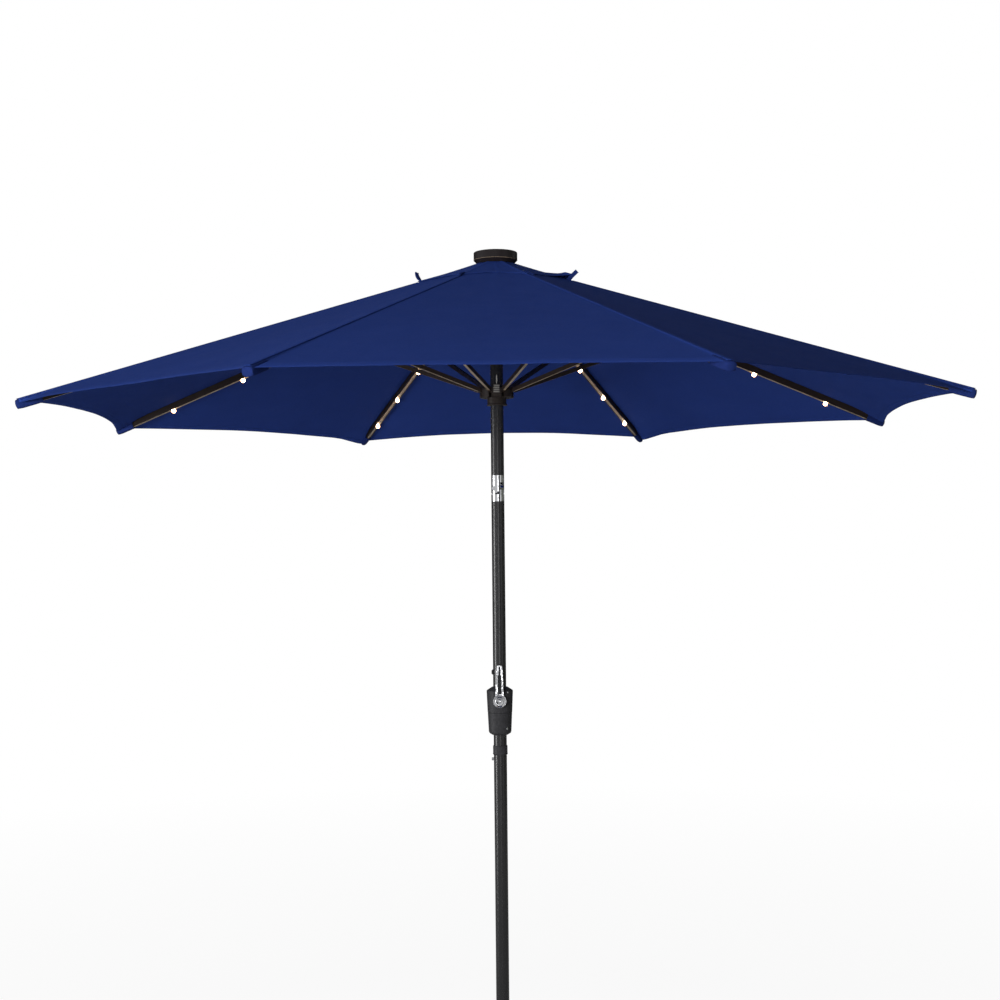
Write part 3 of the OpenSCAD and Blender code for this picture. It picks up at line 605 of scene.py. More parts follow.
class Slot(Enum):
    """The record's material slots."""

    CLOTH = "canopy_cloth"
    BRONZE = "bronze_paint"
    CHARCOAL = "charcoal_paint"
    CAST = "cast_base"
    RUBBER = "foot_rubber"
    CHROME = "chrome_steel"
    HOUSING = "housing_plastic"
    HUB = "hub_plastic"
    RUNNER = "runner_plastic"
    KNOB = "knob_plastic"
    NYLON = "white_nylon"
    CORD = "lift_cord"
    LAMP = "lamp_plastic"
    CAP = "cap_plastic"
    SOLAR = "solar_cells"
    CELL = "cell_sleeve"
    SWITCH = "switch_plastic"


FINISHES: dict[Slot, Finish] = {
    Slot.CLOTH: WovenPolyester("navy_woven_polyester", "#243879", 0.9, 0.07, 180.0, 1.0, 0.12, 0.04),
    Slot.BRONZE: PowderCoat("bronze_powder_coat", "#241d1a", 0.42, 0.08, 40.0, 1.4, 0.03),
    Slot.CHARCOAL: PowderCoat("charcoal_powder_coat", "#1b1b1c", 0.26, 0.08, 70.0, 1.3, 0.0012, 0.02, 0.5),
    Slot.CAST: CastIron("painted_cast_iron", "#37373a", 0.6, 0.1, 50.0, 1.6, 0.5),
    Slot.RUBBER: MouldedRubber("pressed_rubber", "#232324", 0.85, 0.12, 12.0, 0.8, 0.05),
    Slot.CHROME: PlatedChrome("bright_chrome_plate", "#d6d7da", 0.07, 0.03, 20.0, 14.0, 0.6, 0.04),
    Slot.HOUSING: MouldedPlastic("textured_black_abs", "#2a2a2c", 0.5, 0.22, 7.0, 2.2, 0.25),
    Slot.HUB: MouldedPlastic("glass_filled_nylon_hub", "#1d1a1a", 0.5, 0.08, 30.0, 0.9, 0.04),
    Slot.RUNNER: MouldedPlastic("glass_filled_nylon_runner", "#231e1c", 0.42, 0.08, 24.0, 0.9, 0.04),
    Slot.KNOB: MouldedPlastic("black_nylon_grip", "#1b1c1e", 0.5, 0.08, 20.0, 0.8, 0.04),
    Slot.NYLON: RibbedNylon("ribbed_grey_nylon", "#6e6c68", 0.4, 0.08, 15.0, 0.8, 0.02),
    Slot.CORD: BraidedCord("braided_polyester_cord", "#c9c6bd", 0.8, 0.08, 20.0, 0.6, 0.15),
    Slot.LAMP: LampDome("lit_polycarbonate_dome", "#f4f0e8", 0.2, 0.02, 10.0, 2.0, 0.01),
    Slot.CAP: MouldedPlastic("satin_cap_abs", "#1b1718", 0.34, 0.08, 30.0, 0.9, 0.03),
    Slot.SOLAR: SolarCells("silicon_under_epoxy", "#0e1220", 0.3, 0.25, 14.0, 1.0, 0.005),
    Slot.CELL: MouldedPlastic("shrink_sleeve", "#3f6a4a", 0.35, 0.05, 25.0, 1.0, 0.01),
    Slot.SWITCH: MouldedPlastic("grey_silicone_switch", "#8c8c8c", 0.6, 0.05, 8.0, 0.6, 0.02),
}

# A pale bronze that paints a highlight: the floor's reflection along the struts' undersides, and the glint on the
# top cap's bead.
PAINTED_HIGHLIGHT_EDGE = PowderCoat("bronze_edge_painted_highlight", "#8f7f6c", 0.35, 0.2, 25.0, 1.0, 0.02)

# The cover that closes a rib's channel over its wire: a pale taupe that paints the floor's reflection on the rib's
# underside.
RIB_COVER_PAINTED_REFLECTION = MouldedPlastic("taupe_cover_painted_reflection", "#a39483", 0.5, 0.12, 30.0, 0.9, 0.02)

# The doubled webbing of the tip pockets and ties: the canopy's weave in a darker tone.
WEBBING = WovenPolyester("navy_polyester_webbing", "#192656", 0.9, 0.08, 30.0, 1.0, 0.05)


class Wardrobe:
    """Builds each finish once and puts it on pieces and nodes."""

    def __init__(self) -> None:
        """Starts with every finish built."""
        self.made = {slot: finish.build() for slot, finish in FINISHES.items()}
        # The pale edge finish paints a highlight on the strut soles and the cap's bead.
        self.edge_painted_highlight = PAINTED_HIGHLIGHT_EDGE.build()
        # The pale taupe of the rib covers paints the floor's reflection.
        self.cover = RIB_COVER_PAINTED_REFLECTION.build()
        self.webbing = WEBBING.build()

    def dress(self, piece: Piece, slot: Slot) -> None:
        """Gives a new piece the finish of its slot.

        Args:
            piece: The piece.
            slot: The material slot that it wears.
        """
        piece.data.materials.clear()
        piece.data.materials.append(self.made[slot])

    def dress_nodes(self) -> None:
        """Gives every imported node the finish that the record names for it."""
        for row in frame["record"]["subparts"]:
            node = frame["nodes"][row["node"]]
            material = self.made[Slot(row["material_slot"])]
            for place in node.material_slots:
                place.material = material
        log.info("finishes on %d nodes", len(frame["nodes"]))


# ---------------------------------------------------------------- making pieces


class Maker:
    """Turns finished bmeshes into pieces that ride on a body."""

    def __init__(self, wardrobe: Wardrobe) -> None:
        """Keeps the finishes that its pieces wear."""
        self.wardrobe = wardrobe

    def piece(
        self,
        mesh: Mesh,
        name: str,
        slot: Slot,
        body: str,
        sharp_deg: float = 32.0,
        recalculate: bool = True,
        finish: Optional[bpy.types.Material] = None,
    ) -> Piece:
        """Makes one piece.

        Args:
            mesh: Its shape, which is freed.
            name: The piece's name.
            slot: The material slot that it wears.
            body: The body that it rides on.
            sharp_deg: Edges sharper than this stay crisp.
            recalculate: Whether to turn all faces outwards.
            finish: What it wears instead of the slot's own finish.

        Returns:
            The new object.
        """
        if recalculate:
            bmesh.ops.recalc_face_normals(mesh, faces=mesh.faces[:])
        data = finished(mesh, name)
        data.shade_smooth()
        data.set_sharp_from_angle(angle=math.radians(sharp_deg))
        made = into_scene(name, data)
        self.wardrobe.dress(made, slot)
        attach(made, body)
        if finish:
            data.materials[0] = finish
        log.info("%s: %d faces", name, len(data.polygons))
        return made


def block(mesh: Mesh, low: Vector, high: Vector, place: Matrix, round_off: float, steps: int) -> None:
    """Adds a box with rounded edges to a mesh.

    Args:
        mesh: The mesh that gets it.
        low: Its lowest corner, in its own frame.
        high: Its highest corner.
        place: Where its frame lies.
        round_off: Width of the rounding.
        steps: Faces across the rounding.
    """
    matrix = place @ Matrix.Translation((high + low) / 2) @ Matrix.Diagonal((*(high - low), 1.0))
    corners = set(bmesh.ops.create_cube(mesh, size=1.0, matrix=matrix)["verts"])
    edges = [e for e in mesh.edges if e.verts[0] in corners and e.verts[1] in corners]
    bmesh.ops.bevel(
        mesh,
        geom=edges,
        offset=round_off,
        offset_type="OFFSET",
        segments=steps,
        profile=0.5,
        affect="EDGES",
        material=-1,
    )


def lathe(
    mesh: Mesh, outline: Sequence[tuple[float, float]], place: Matrix, steps: int, closed: bool = False
) -> None:
    """Spins an outline of radius and height about the Z axis of a frame.

    Args:
        mesh: The mesh that gets the turned form.
        outline: Radius and height of each point.
        place: Where the axis lies.
        steps: Faces around.
        closed: Whether the last point joins the first.
    """
    rim = [mesh.verts.new((radius, 0.0, height)) for radius, height in outline]
    edges = [mesh.edges.new(pair) for pair in zip(rim, rim[1:])]
    if closed:
        edges.append(mesh.edges.new((rim[-1], rim[0])))
    before = set(mesh.verts)
    bmesh.ops.spin(
        mesh,
        geom=rim + edges,
        cent=(0, 0, 0),
        axis=(0, 0, 1),
        angle=2 * math.pi,
        steps=steps,
        use_merge=True,
        use_duplicate=False,
    )
    turned = rim + [v for v in mesh.verts if v not in before]
    bmesh.ops.remove_doubles(mesh, verts=turned, dist=1e-6)
    turned = [v for v in turned if v.is_valid]
    bmesh.ops.transform(mesh, matrix=place, verts=turned)


def grid(across: int, along: int, size: float = 0.5, matrix: Matrix = Matrix.Identity(4)) -> Mesh:
    """Makes a flat sheet of squares.

    Args:
        across: Squares in X.
        along: Squares in Y.
        size: Half its width.
        matrix: Where it lies.

    Returns:
        A new mesh.
    """
    mesh = bmesh.new()
    bmesh.ops.create_grid(mesh, x_segments=across, y_segments=along, size=size, matrix=matrix)
    return mesh


def drape(mesh: Mesh, place: Callable[[Vector], Laid]) -> Mesh:
    """Moves each point of a cloth, and writes the two maps that the cloth's finish reads.

    Args:
        mesh: The cloth before it is laid.
        place: Gives where a point comes to lie.

    Returns:
        The same mesh.
    """
    map_layer = mesh.loops.layers.uv.new("cloth")
    edge_layer = mesh.verts.layers.float.new("from_hem")
    where = {}
    for vert in mesh.verts:
        vert.co, where[vert], vert[edge_layer] = place(vert.co)
    for face in mesh.faces:
        for loop in face.loops:
            loop[map_layer].uv = where[loop.vert]
    return mesh


def area_of(mesh: Mesh) -> float:
    """Adds up the areas of a mesh's faces."""
    return sum(face.calc_area() for face in mesh.faces)


def ease(value: float) -> float:
    """Turns 0 to 1 into a smooth step."""
    value = min(1.0, max(0.0, value))
    return value * value * (3 - 2 * value)


# ---------------------------------------------------------------- canopy


@dataclass(frozen=True)
class Gore:
    """One sewn panel between two ribs.

    Attributes:
        dip: How far its hem curves in at the middle.
        droop: How far the middle of its hem hangs below a straight line.
        sag: How far the cloth itself hangs below a straight line, halfway down.
        lift: How far its flap's edge stands up.
        lean: Where along the edge the flap stands highest, from -1 to 1.
    """

    dip: float
    droop: float = 0.004
    sag: float = 0.006
    lift: float = 0.006
    lean: float = 0.0


class Tie(Enum):
    """How the tape at a corner of the flap lies: flat on the cloth, curled up in a hook, or standing out."""

    FLAT = 0
    HOOKED = 1
    RAISED = 2


@dataclass(frozen=True)
class Corner:
    """How the cloth ends at one rib.

    Attributes:
        drop: How far the hem beside the tip hangs below a straight line.
        wraps: How much further the cloth is drawn down there, on the side of the rib before and the rib after.
        flap_up: How far the flap's corner stands up.
        tie: How its tape lies.
        pocket: Width and height of the tip's pocket.
    """

    drop: float
    wraps: tuple[float, float]
    flap_up: float = 0.0
    tie: Tie = Tie.FLAT
    pocket: tuple[float, float] = (0.0195, 0.0265)


@dataclass
class Frame:
    """Where the ribs lie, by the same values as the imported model.

    Attributes:
        hinge_r: Distance of the ribs' hinges from the axis.
        hub_z: Height of those hinges.
        slope: Fall of the ribs.
        pin_up: Height of the hinges over the channels' middle.
        rib_h: Depth of a channel.
        rib_len: Length from hinge to tip.
        tip_r: Reach of a tip.
        neck_r: Where the cloth meets the cap.
        neck_z: Height of the main cloth's line there.
        runner_z: Height of the struts' lower hinges.
        strut_angle: Rise of the struts.
        strut_len: Length of a strut between its hinges.
    """

    hinge_r: float = 0.038
    hub_z: float = 2.456585
    slope: float = math.radians(18.07)
    pin_up: float = 0.004
    rib_h: float = 0.020
    rib_len: float = 1.38137
    tip_r: float = 1.350
    neck_r: float = 0.0545
    neck_z: float = 2.460038
    runner_z: float = 2.089016
    strut_angle: float = math.radians(18.9827)
    strut_len: float = 0.565

    def azimuth(self, rib: int) -> float:
        """Gives a rib's direction round the pole, in radians."""
        return HALF_GORE * (2 * rib - 1)

    def turn(self, rib: int) -> Matrix:
        """Gives the turn from straight ahead along X to a rib's direction."""
        return Matrix.Rotation(self.azimuth(rib), 4, "Z")

    def rib_place(self, rib: int) -> Matrix:
        """Gives the frame of a rib: X runs out along it from its hinge, Z stands up from it."""
        out = Matrix.Translation((self.hinge_r, 0, self.hub_z))
        return self.turn(rib) @ out @ Matrix.Rotation(self.slope, 4, "Y")

    def channel_place(self, rib: int) -> Matrix:
        """Gives the same frame, moved down from the hinge to the middle of the rib's channel."""
        return self.rib_place(rib) @ Matrix.Translation((0, 0, -self.pin_up))

    def strut_place(self, rib: int) -> Matrix:
        """Gives the frame of a strut: X runs out along it from the runner."""
        out = Matrix.Translation((self.hinge_r, 0, self.runner_z))
        return self.turn(rib) @ out @ Matrix.Rotation(-self.strut_angle, 4, "Y")

    def cloth_z(self, reach: float) -> float:
        """Gives the height of the cloth's top over a rib, at a reach from the axis."""
        return self.neck_z - math.tan(self.slope) * (reach - self.neck_r)

    def tangent(self, rib: int) -> Vector:
        """Gives the direction across a rib, level with the floor."""
        angle = self.azimuth(rib)
        return Vector((-math.sin(angle), math.cos(angle), 0))


@dataclass
class Canopy:
    """The sewn cloth: eight panels, their flap over the vent, tip pockets and ties.

    It is drawn as one continuous surface and parted at the middle of each panel, so that each rib carries the
    cloth on its two sides.

    Attributes:
        maker: Makes the pieces.
        ribs: Where the ribs lie.
        gores: The eight panels; the first lies between ribs 1 and 2.
        corners: How the cloth ends at each rib.
        cloth_t: Thickness of the cloth.
        tip_out: How far the cloth's corner goes past a rib's tip.
        vent_in: Inner edge of the panels, along a rib.
        flap_out: Outer edge of the flap, along a rib.
        flap_gap: Height of the flap over the panels at a rib.
        flap_rise: How far the flap climbs to the cap.
        hem_w: Width of the hem.
        closed_keep: Share of its width that a panel keeps when the umbrella is closed.
        flap_keep: The same for the flap.
        tape_w: Width of the tape over a rib's seam.
        tape_t: Thickness of that tape.
        ridge_h: Height of the cloth's ridge over a rib.
        wrap_w: How far from a tip the cloth is drawn down.
        flap_dip: How far the flap's edge curves in between two ribs.
        pocket_l: Length of a tip's pocket.
    """

    maker: Maker
    ribs: Frame
    gores: tuple[Gore, ...] = (
        Gore(0.0515, 0.0062, 0.006, 0.003, 0.1),
        Gore(0.0613, 0.0031, 0.006, 0.004, -0.2),
        Gore(0.0455, 0.0075, 0.006, 0.003, 0.15),
        Gore(0.0391, 0.0000, 0.006, 0.002, 0.0),
        Gore(0.0557, 0.0072, 0.005, 0.001, -0.25),
        Gore(0.0526, 0.0114, 0.005, 0.0008, -0.3),
        Gore(0.0557, 0.0072, 0.005, 0.001, 0.3),
        Gore(0.0381, 0.0000, 0.006, 0.002, 0.1),
    )
    corners: tuple[Corner, ...] = (
        Corner(0.0028, (0.011, 0.001)),
        Corner(0.0056, (0.011, 0.0)),
        Corner(0.0090, (0.0, 0.011)),
        Corner(0.0028, (0.001, 0.011)),
        Corner(0.0022, (0.016, 0.006), 0.002, Tie.HOOKED),
        Corner(0.0035, (0.0, 0.0), pocket=(0.030, 0.0245)),
        Corner(0.0016, (0.0, 0.0), pocket=(0.030, 0.0245)),
        Corner(0.0042, (0.006, 0.011), 0.018, Tie.RAISED),
    )
    cloth_t: float = 0.0011
    tip_out: float = 0.003
    vent_in: float = 0.160
    flap_out: float = 0.243
    flap_gap: float = 0.0015623
    flap_rise: float = 0.0041
    hem_w: float = 0.024
    closed_keep: float = 0.16
    flap_keep: float = 0.3
    tape_w: float = 0.015
    tape_t: float = 0.0006
    ridge_h: float = 0.0007
    wrap_w: float = 0.11
    flap_dip: float = 0.024
    pocket_l: float = 0.070

    def gore_beside(self, rib: int, side: float) -> Gore:
        """Gives the panel on one side of a rib."""
        index = rib - 1 if side >= 0 else rib - 2
        return self.gores[index % RIB_COUNT]

    def spot(self, rib: int, reach: float, share: float, lift: float) -> Vector:
        """Gives a point of the cloth.

        Args:
            rib: The rib that carries it.
            reach: Distance from the axis, along the rib.
            share: Place across, from -1 to 1, where 1 is the middle of a panel.
            lift: Height over the cloth's straight lines.

        Returns:
            The point in the model's frame.
        """
        out = reach * (1 - abs(share) * math.sin(HALF_GORE) ** 2)
        return self.ribs.turn(rib) @ Vector((out, half_gore(share * reach), self.ribs.cloth_z(reach) + lift))

    def fill(self, share: float) -> float:
        """Gives how free the cloth is of its ribs: 0 on one, 1 at the middle of a panel."""
        return 1 - (1 - abs(share)) ** 2

    def columns(self, reach: float, count: int) -> list[float]:
        """Gives the places of a row's points: narrow ones over the seam, then even ones.

        Args:
            reach: Distance of the row from the axis.
            count: How many even columns lie on each side.

        Returns:
            Shares from -1 to 1.
        """
        half = half_gore(reach)
        narrow = min(1.0, 0.6 * half / SEAM_STEPS[-1])
        seam = [narrow * d / half for d in SEAM_STEPS]
        right = seam + [seam[-1] + (1 - seam[-1]) * k / count for k in range(1, count + 1)]
        return [-s for s in reversed(right[1:])] + right

    def puckers(self, place: Vector, share: float, down: float) -> float:
        """Gives the height of the slack folds that sewn cloth has.

        Args:
            place: The point.
            share: Its place across.
            down: Its place from the inner edge, 0, to the hem, 1.

        Returns:
            A small height.
        """
        broad = noise.noise(Vector((place.x * 3.1, place.y * 3.1, 4.2))) * 0.0022
        angle = math.atan2(place.y, place.x)
        rays = noise.noise(Vector((angle * 11.0, down * 1.6, 9.7))) * 0.0012
        return (broad + rays) * self.fill(share) ** 1.2 * (0.35 + 0.65 * down)

    def rows(self, count: int) -> list[tuple[float, float, float]]:
        """Gives each row's place: its share of the way down, then how far in and down the hem's fold lies.

        Args:
            count: Rows of the open cloth.

        Returns:
            Share, inset and drop of each row.
        """
        edge = [(1.0, 0.0012, 0.0), (1.0, 0.0, 0.0007)]
        fold = [(1.0, 0.0010, 0.0014), (1.0, 0.0060, 0.0015), (1.0, self.hem_w, 0.0015)]
        return [(k / count, 0.0, 0.0) for k in range(count)] + edge + fold

    def sheet(
        self,
        rib: int,
        count: int,
        columns: int,
        start: float,
        stop: Callable[[float], float],
        lift: Callable[[float, float, float], float],
    ) -> Mesh:
        """Lays a flat grid onto the canopy and gives it its hem and its map.

        Args:
            rib: The rib that carries the sheet.
            count: Rows from the inner edge to the hem.
            columns: Even columns on each side of the seam.
            start: Reach of the inner edge.
            stop: Gives the reach of the outer edge from the place across.
            lift: Gives the height from the reach, the place across and the place down.

        Returns:
            The cloth as one layer, which gets its thickness later.
        """
        rows = self.rows(count)
        across, steps = 2 * (columns + len(SEAM_STEPS) - 1), len(rows) - 1

        def place(flat: Vector) -> Laid:
            """Gives where a point of the grid comes to lie.

            Args:
                flat: The point before it is laid.

            Returns:
                Its place, its spot on the map, and its distance from a hem.
            """
            down, inset, drop = rows[round((flat.y + 0.5) * steps)]
            share = self.columns(start + (stop(0.0) - start) * down, columns)[round((flat.x + 0.5) * across)]
            reach = start + (stop(share) - start) * down - inset
            half = half_gore(reach)
            height = lift(reach, share, down) + self.puckers(self.spot(rib, reach, share, 0.0), share, down)
            ridge = self.ridge_h * (1 - ease((abs(share) * half - 0.0052) / 0.0014))
            spot = self.spot(rib, reach, share, height + ridge - drop)
            return spot, (share * half, reach / math.cos(self.ribs.slope)), stop(share) - reach

        return drape(grid(across, steps), place)

    def upward(self, mesh: Mesh) -> None:
        """Turns a single layer of cloth so that its faces look up and out.

        Args:
            mesh: The layer.
        """
        bmesh.ops.recalc_face_normals(mesh, faces=mesh.faces[:])
        if max(mesh.faces, key=lambda face: face.calc_area()).normal.z < 0:
            bmesh.ops.reverse_faces(mesh, faces=mesh.faces[:])

    def solid(self, piece: Piece) -> None:
        """Gives a broad piece of cloth its thickness, with crisp rims, so that they do not bend the light on it.

        Args:
            piece: The cloth as one layer.
        """
        uses = Counter(key for face in piece.data.polygons for key in face.edge_keys)
        for edge in piece.data.edges:
            edge.use_edge_sharp = edge.use_edge_sharp or uses[edge.key] == 1
        thickness = piece.modifiers.new("thickness", "SOLIDIFY")
        thickness.thickness = self.cloth_t
        thickness.offset = -1.0

    def thicken(self, mesh: Mesh, thickness: float) -> None:
        """Gives a single layer of cloth its thickness, below its outer face."""
        bmesh.ops.solidify(mesh, geom=mesh.faces[:], thickness=thickness)
        bmesh.ops.recalc_face_normals(mesh, faces=mesh.faces[:])

    def declare(self, piece: Piece) -> Piece:
        """Gives a piece back as it is.

        Args:
            piece: The piece.

        Returns:
            The same piece.
        """
        return piece

    def cloth(self, mesh: Mesh, name: str, rib: int, rests_on: str, keep: float) -> Piece:
        """Makes a piece of cloth that rides on a rib.

        Args:
            mesh: Its single layer.
            name: The piece's name.
            rib: The rib that carries it.
            rests_on: What it lies on; not used.
            keep: Share of its width that is left when the umbrella is closed; not used.

        Returns:
            The new piece.
        """
        self.upward(mesh)
        area = area_of(mesh)
        across = self.ribs.tangent(rib)
        piece = self.maker.piece(mesh, name, Slot.CLOTH, f"rib_{rib}", 50.0, recalculate=False)
        self.solid(piece)
        self.ribs.rib_place(rib).translation
        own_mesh(piece)
        return self.declare(piece)

    def panel(self, rib: int) -> Piece:
        """Makes the main cloth on one rib.

        Args:
            rib: The rib's number.

        Returns:
            The piece.
        """
        corner = self.corners[rib - 1]

        def stop(share: float) -> float:
            """Gives the hem's reach: it curves in between two tips."""
            dip = self.gore_beside(rib, share).dip / math.cos(HALF_GORE)
            return self.ribs.tip_r + self.tip_out - dip * self.fill(share)

        def lift(reach: float, share: float, down: float) -> float:
            """Gives the sag between two ribs, the droop of the hem, and the cloth drawn down beside the tip.

            Args:
                reach: Distance from the axis, along the rib.
                share: Place across, from -1 to 1.
                down: Place from the inner edge, 0, to the hem, 1.

            Returns:
                The height over the cloth's straight lines.
            """
            gore = self.gore_beside(rib, share)
            free = self.fill(share)
            sag = gore.sag * free * math.sin(math.pi * min(1.0, down))
            other = self.corners[(rib if share >= 0 else rib - 2) % RIB_COUNT].drop
            aside = half_gore(abs(share) * reach)
            off_rib = ease((aside - 0.0066) / 0.004)
            ends = corner.drop * (1 - free) + 0.5 * (corner.drop + other) * free
            hem = (gore.droop * free + ends) * min(1.0, down) ** 4
            near = ease(1 - (stop(share) - reach) / self.wrap_w)
            around = corner.wraps[share >= 0] * near * (1 - ease((aside - 0.016) / self.wrap_w))
            return -sag - off_rib * (hem + around)

        mesh = self.sheet(rib, 30, 12, self.vent_in, stop, lift)
        piece = self.cloth(mesh, f"canopy_panel_{rib}", rib, f"rib_{rib}", self.closed_keep)
        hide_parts(f"canopy_{rib}")
        return piece

    def flap(self, rib: int) -> Piece:
        """Makes the share of the vent's flap on one rib.

        Args:
            rib: The rib's number.

        Returns:
            The piece.
        """

        def stop(share: float) -> float:
            """Gives the flap's edge."""
            return self.flap_out - self.flap_dip * self.fill(share)

        def lift(reach: float, share: float, down: float) -> float:
            """Gives the flap's height: it climbs to the cap, and its edge stands off between the ribs.

            Args:
                reach: Distance from the axis, along the rib.
                share: Place across, from -1 to 1.
                down: Place from the inner edge, 0, to the hem, 1.

            Returns:
                The height over the cloth's straight lines.
            """
            gore = self.gore_beside(rib, share)
            along = abs(share) - 1 if share >= 0 else 1 - abs(share)
            peak = gore.lean
            side = (along - peak) / (1 + peak) if along < peak else (along - peak) / (1 - peak)
            bump = (0.5 + 0.5 * math.cos(math.pi * max(-1.0, min(1.0, side)))) ** 0.8
            climb = self.flap_rise * (1 - min(1.0, down)) ** 2
            corner = self.corners[rib - 1].flap_up * (1 - abs(share)) ** 2
            away = max(0.0, (min(1.0, down) - 0.55) / 0.45)
            return self.flap_gap + climb + gore.lift * bump * min(1.0, down) ** 1.5 + corner * away

        mesh = self.sheet(rib, 9, 6, self.ribs.neck_r, stop, lift)
        return self.cloth(mesh, f"vent_flap_{rib}", rib, f"canopy_panel_{rib}", self.flap_keep)

    def tape(self, rib: int) -> Piece:
        """Makes the tape sewn along a rib's seam; it does not gather, so the rib stays covered when closed.

        Args:
            rib: The rib's number.

        Returns:
            The piece.
        """
        start, stop = self.flap_out + 0.001, self.ribs.tip_r + self.tip_out - 0.0005

        def place(flat: Vector) -> Laid:
            """Gives where a point of the tape comes to lie.

            Args:
                flat: The point before it is laid.

            Returns:
                Its place, its spot on the map, and its distance from a hem.
            """
            reach = start + (stop - start) * (flat.y + 0.5)
            aside = flat.x * self.tape_w
            bend = 0.0005 * ease((abs(aside) - 0.0035) / 0.004)
            height = self.ribs.cloth_z(reach) + 0.0008 + self.tape_t - bend
            return self.ribs.turn(rib) @ Vector((reach, aside, height)), (aside, reach), 1.0

        mesh = drape(grid(8, 40), place)
        self.upward(mesh)
        area = area_of(mesh)
        self.thicken(mesh, self.tape_t)
        piece = self.maker.piece(mesh, f"seam_tape_{rib}", Slot.CLOTH, f"rib_{rib}", 50.0)
        return self.declare(piece)

    def tie_line(self, tie: Tie, down: float) -> tuple[float, float, float]:
        """Gives the middle line of a tie, from the flap's corner.

        Args:
            tie: How it lies.
            down: Place along it, from 0 to 1.

        Returns:
            How far out, up and aside the point lies.
        """
        if tie is Tie.HOOKED:
            return -0.0225 + 0.0215 * math.sin(1.75 * down), 0.0005 + 0.0275 * down**1.3, -0.003 * down
        if tie is Tie.RAISED:
            return -0.0165 + 0.0285 * down**1.3, -0.019 + 0.029 * down, 0.002 * down
        out = -0.014 + 0.040 * down
        ripple = 0.0022 * math.sin(3.1 * math.pi * down) ** 2
        return out, 0.0036 - math.tan(self.ribs.slope) * out + ripple, 0.006 * down * down

    def tie_twist(self, tie: Tie, down: float) -> float:
        """Gives how far a tie's face has turned about its middle line, in radians."""
        return {Tie.FLAT: 0.0, Tie.HOOKED: 1.1 * ease(down * 1.6), Tie.RAISED: 1.25}[tie]

    def tie(self, rib: int) -> Piece:
        """Makes the loop of tape that holds the flap's corner to the rib.

        Args:
            rib: The rib's number.

        Returns:
            The piece.
        """
        corner = self.corners[rib - 1]
        calm = corner.tie is Tie.FLAT
        wide, thick, flat_size = (0.009, 0.0016, (0.0105, 0.06)) if calm else (0.0118, 0.0040, (0.0145, 0.045))
        root = Vector((self.flap_out, 0, self.ribs.cloth_z(self.flap_out) + corner.flap_up))

        def place(flat: Vector) -> Laid:
            """Gives where a point of the tie comes to lie.

            Args:
                flat: The point before it is laid.

            Returns:
                Its place, its spot on the map, and its distance from a hem.
            """
            down = flat.y + 0.5
            side = flat.x * wide * (1 - 0.3 * down * calm)
            out, rise, bend = self.tie_line(corner.tie, down)
            ahead = self.tie_line(corner.tie, down + 0.02)
            along = Vector((ahead[0] - out, ahead[1] - rise)).normalized()
            twist = self.tie_twist(corner.tie, down)
            level, upright = side * math.cos(twist), side * math.sin(twist)
            spot = Vector((out + along.y * upright, level + bend, rise - along.x * upright + 0.25 * abs(level)))
            return self.ribs.turn(rib) @ (root + spot), (flat.x * wide, down * 0.05), 1.0

        mesh = drape(grid(4, 14), place)
        self.upward(mesh)
        self.thicken(mesh, thick)
        area = area_of(mesh) / 2
        webbing = self.maker.wardrobe.webbing
        piece = self.maker.piece(mesh, f"vent_tie_{rib}", Slot.CLOTH, f"rib_{rib}", 60.0, finish=webbing)
        return self.declare(piece)

    def pocket(self, rib: int) -> Piece:
        """Makes the sewn pocket over a rib's tip: a sleeve that is open towards the pole.

        Args:
            rib: The rib's number.

        Returns:
            The piece.
        """
        mesh = bmesh.new()
        length = self.pocket_l
        wide, high = self.corners[rib - 1].pocket
        middle = Vector((self.ribs.rib_len - length / 2 + 0.0055, 0, 0.0118 - high / 2))
        size = Matrix.Diagonal((length, wide, high, 1.0))
        bmesh.ops.create_cube(mesh, size=1.0, matrix=Matrix.Translation(middle) @ size)
        bmesh.ops.subdivide_edges(mesh, edges=mesh.edges[:], cuts=7, use_grid_fill=True)
        bmesh.ops.delete(mesh, geom=[f for f in mesh.faces if f.normal.x < -0.9], context="FACES")

        def place(point: Vector) -> Laid:
            """Gives where a point of the box comes to lie: its edges are round and its cloth is a little slack.

            Args:
                point: The point on the box.

            Returns:
                Its place, its spot on the map, and its distance from a hem.
            """
            flat = point - middle
            along = flat.x / length + 0.5
            side, up = flat.y / (wide / 2), flat.z / (high / 2)
            round_off = 1 - 0.16 * (abs(side) * abs(up)) ** 2.2
            taper = 1 - 0.10 * ease((along - 0.75) / 0.25)
            slack = 1 + 0.05 * noise.noise(Vector((along * 5, side * 2 + rib, up * 2)))
            out = flat.x - 0.0025 * (along > 0.99) * (side * side + up * up)
            spot = middle + Vector((out, flat.y * round_off * taper * slack, flat.z * round_off * taper * slack))
            return spot, (spot.y + spot.z + 0.05, spot.x), 1.0

        drape(mesh, place)
        bmesh.ops.transform(mesh, matrix=self.ribs.channel_place(rib), verts=mesh.verts[:])
        area = area_of(mesh)
        bmesh.ops.recalc_face_normals(mesh, faces=mesh.faces[:])
        self.thicken(mesh, 0.0008)
        webbing = self.maker.wardrobe.webbing
        piece = self.maker.piece(mesh, f"tip_pocket_{rib}", Slot.CLOTH, f"rib_{rib}", 60.0, finish=webbing)
        return self.declare(piece)

    def build(self) -> None:
        """Makes the whole canopy."""
        for rib in RIBS:
            for make in (self.panel, self.flap, self.tape, self.pocket, self.tie):
                make(rib)


# ---------------------------------------------------------------- frame and lamps


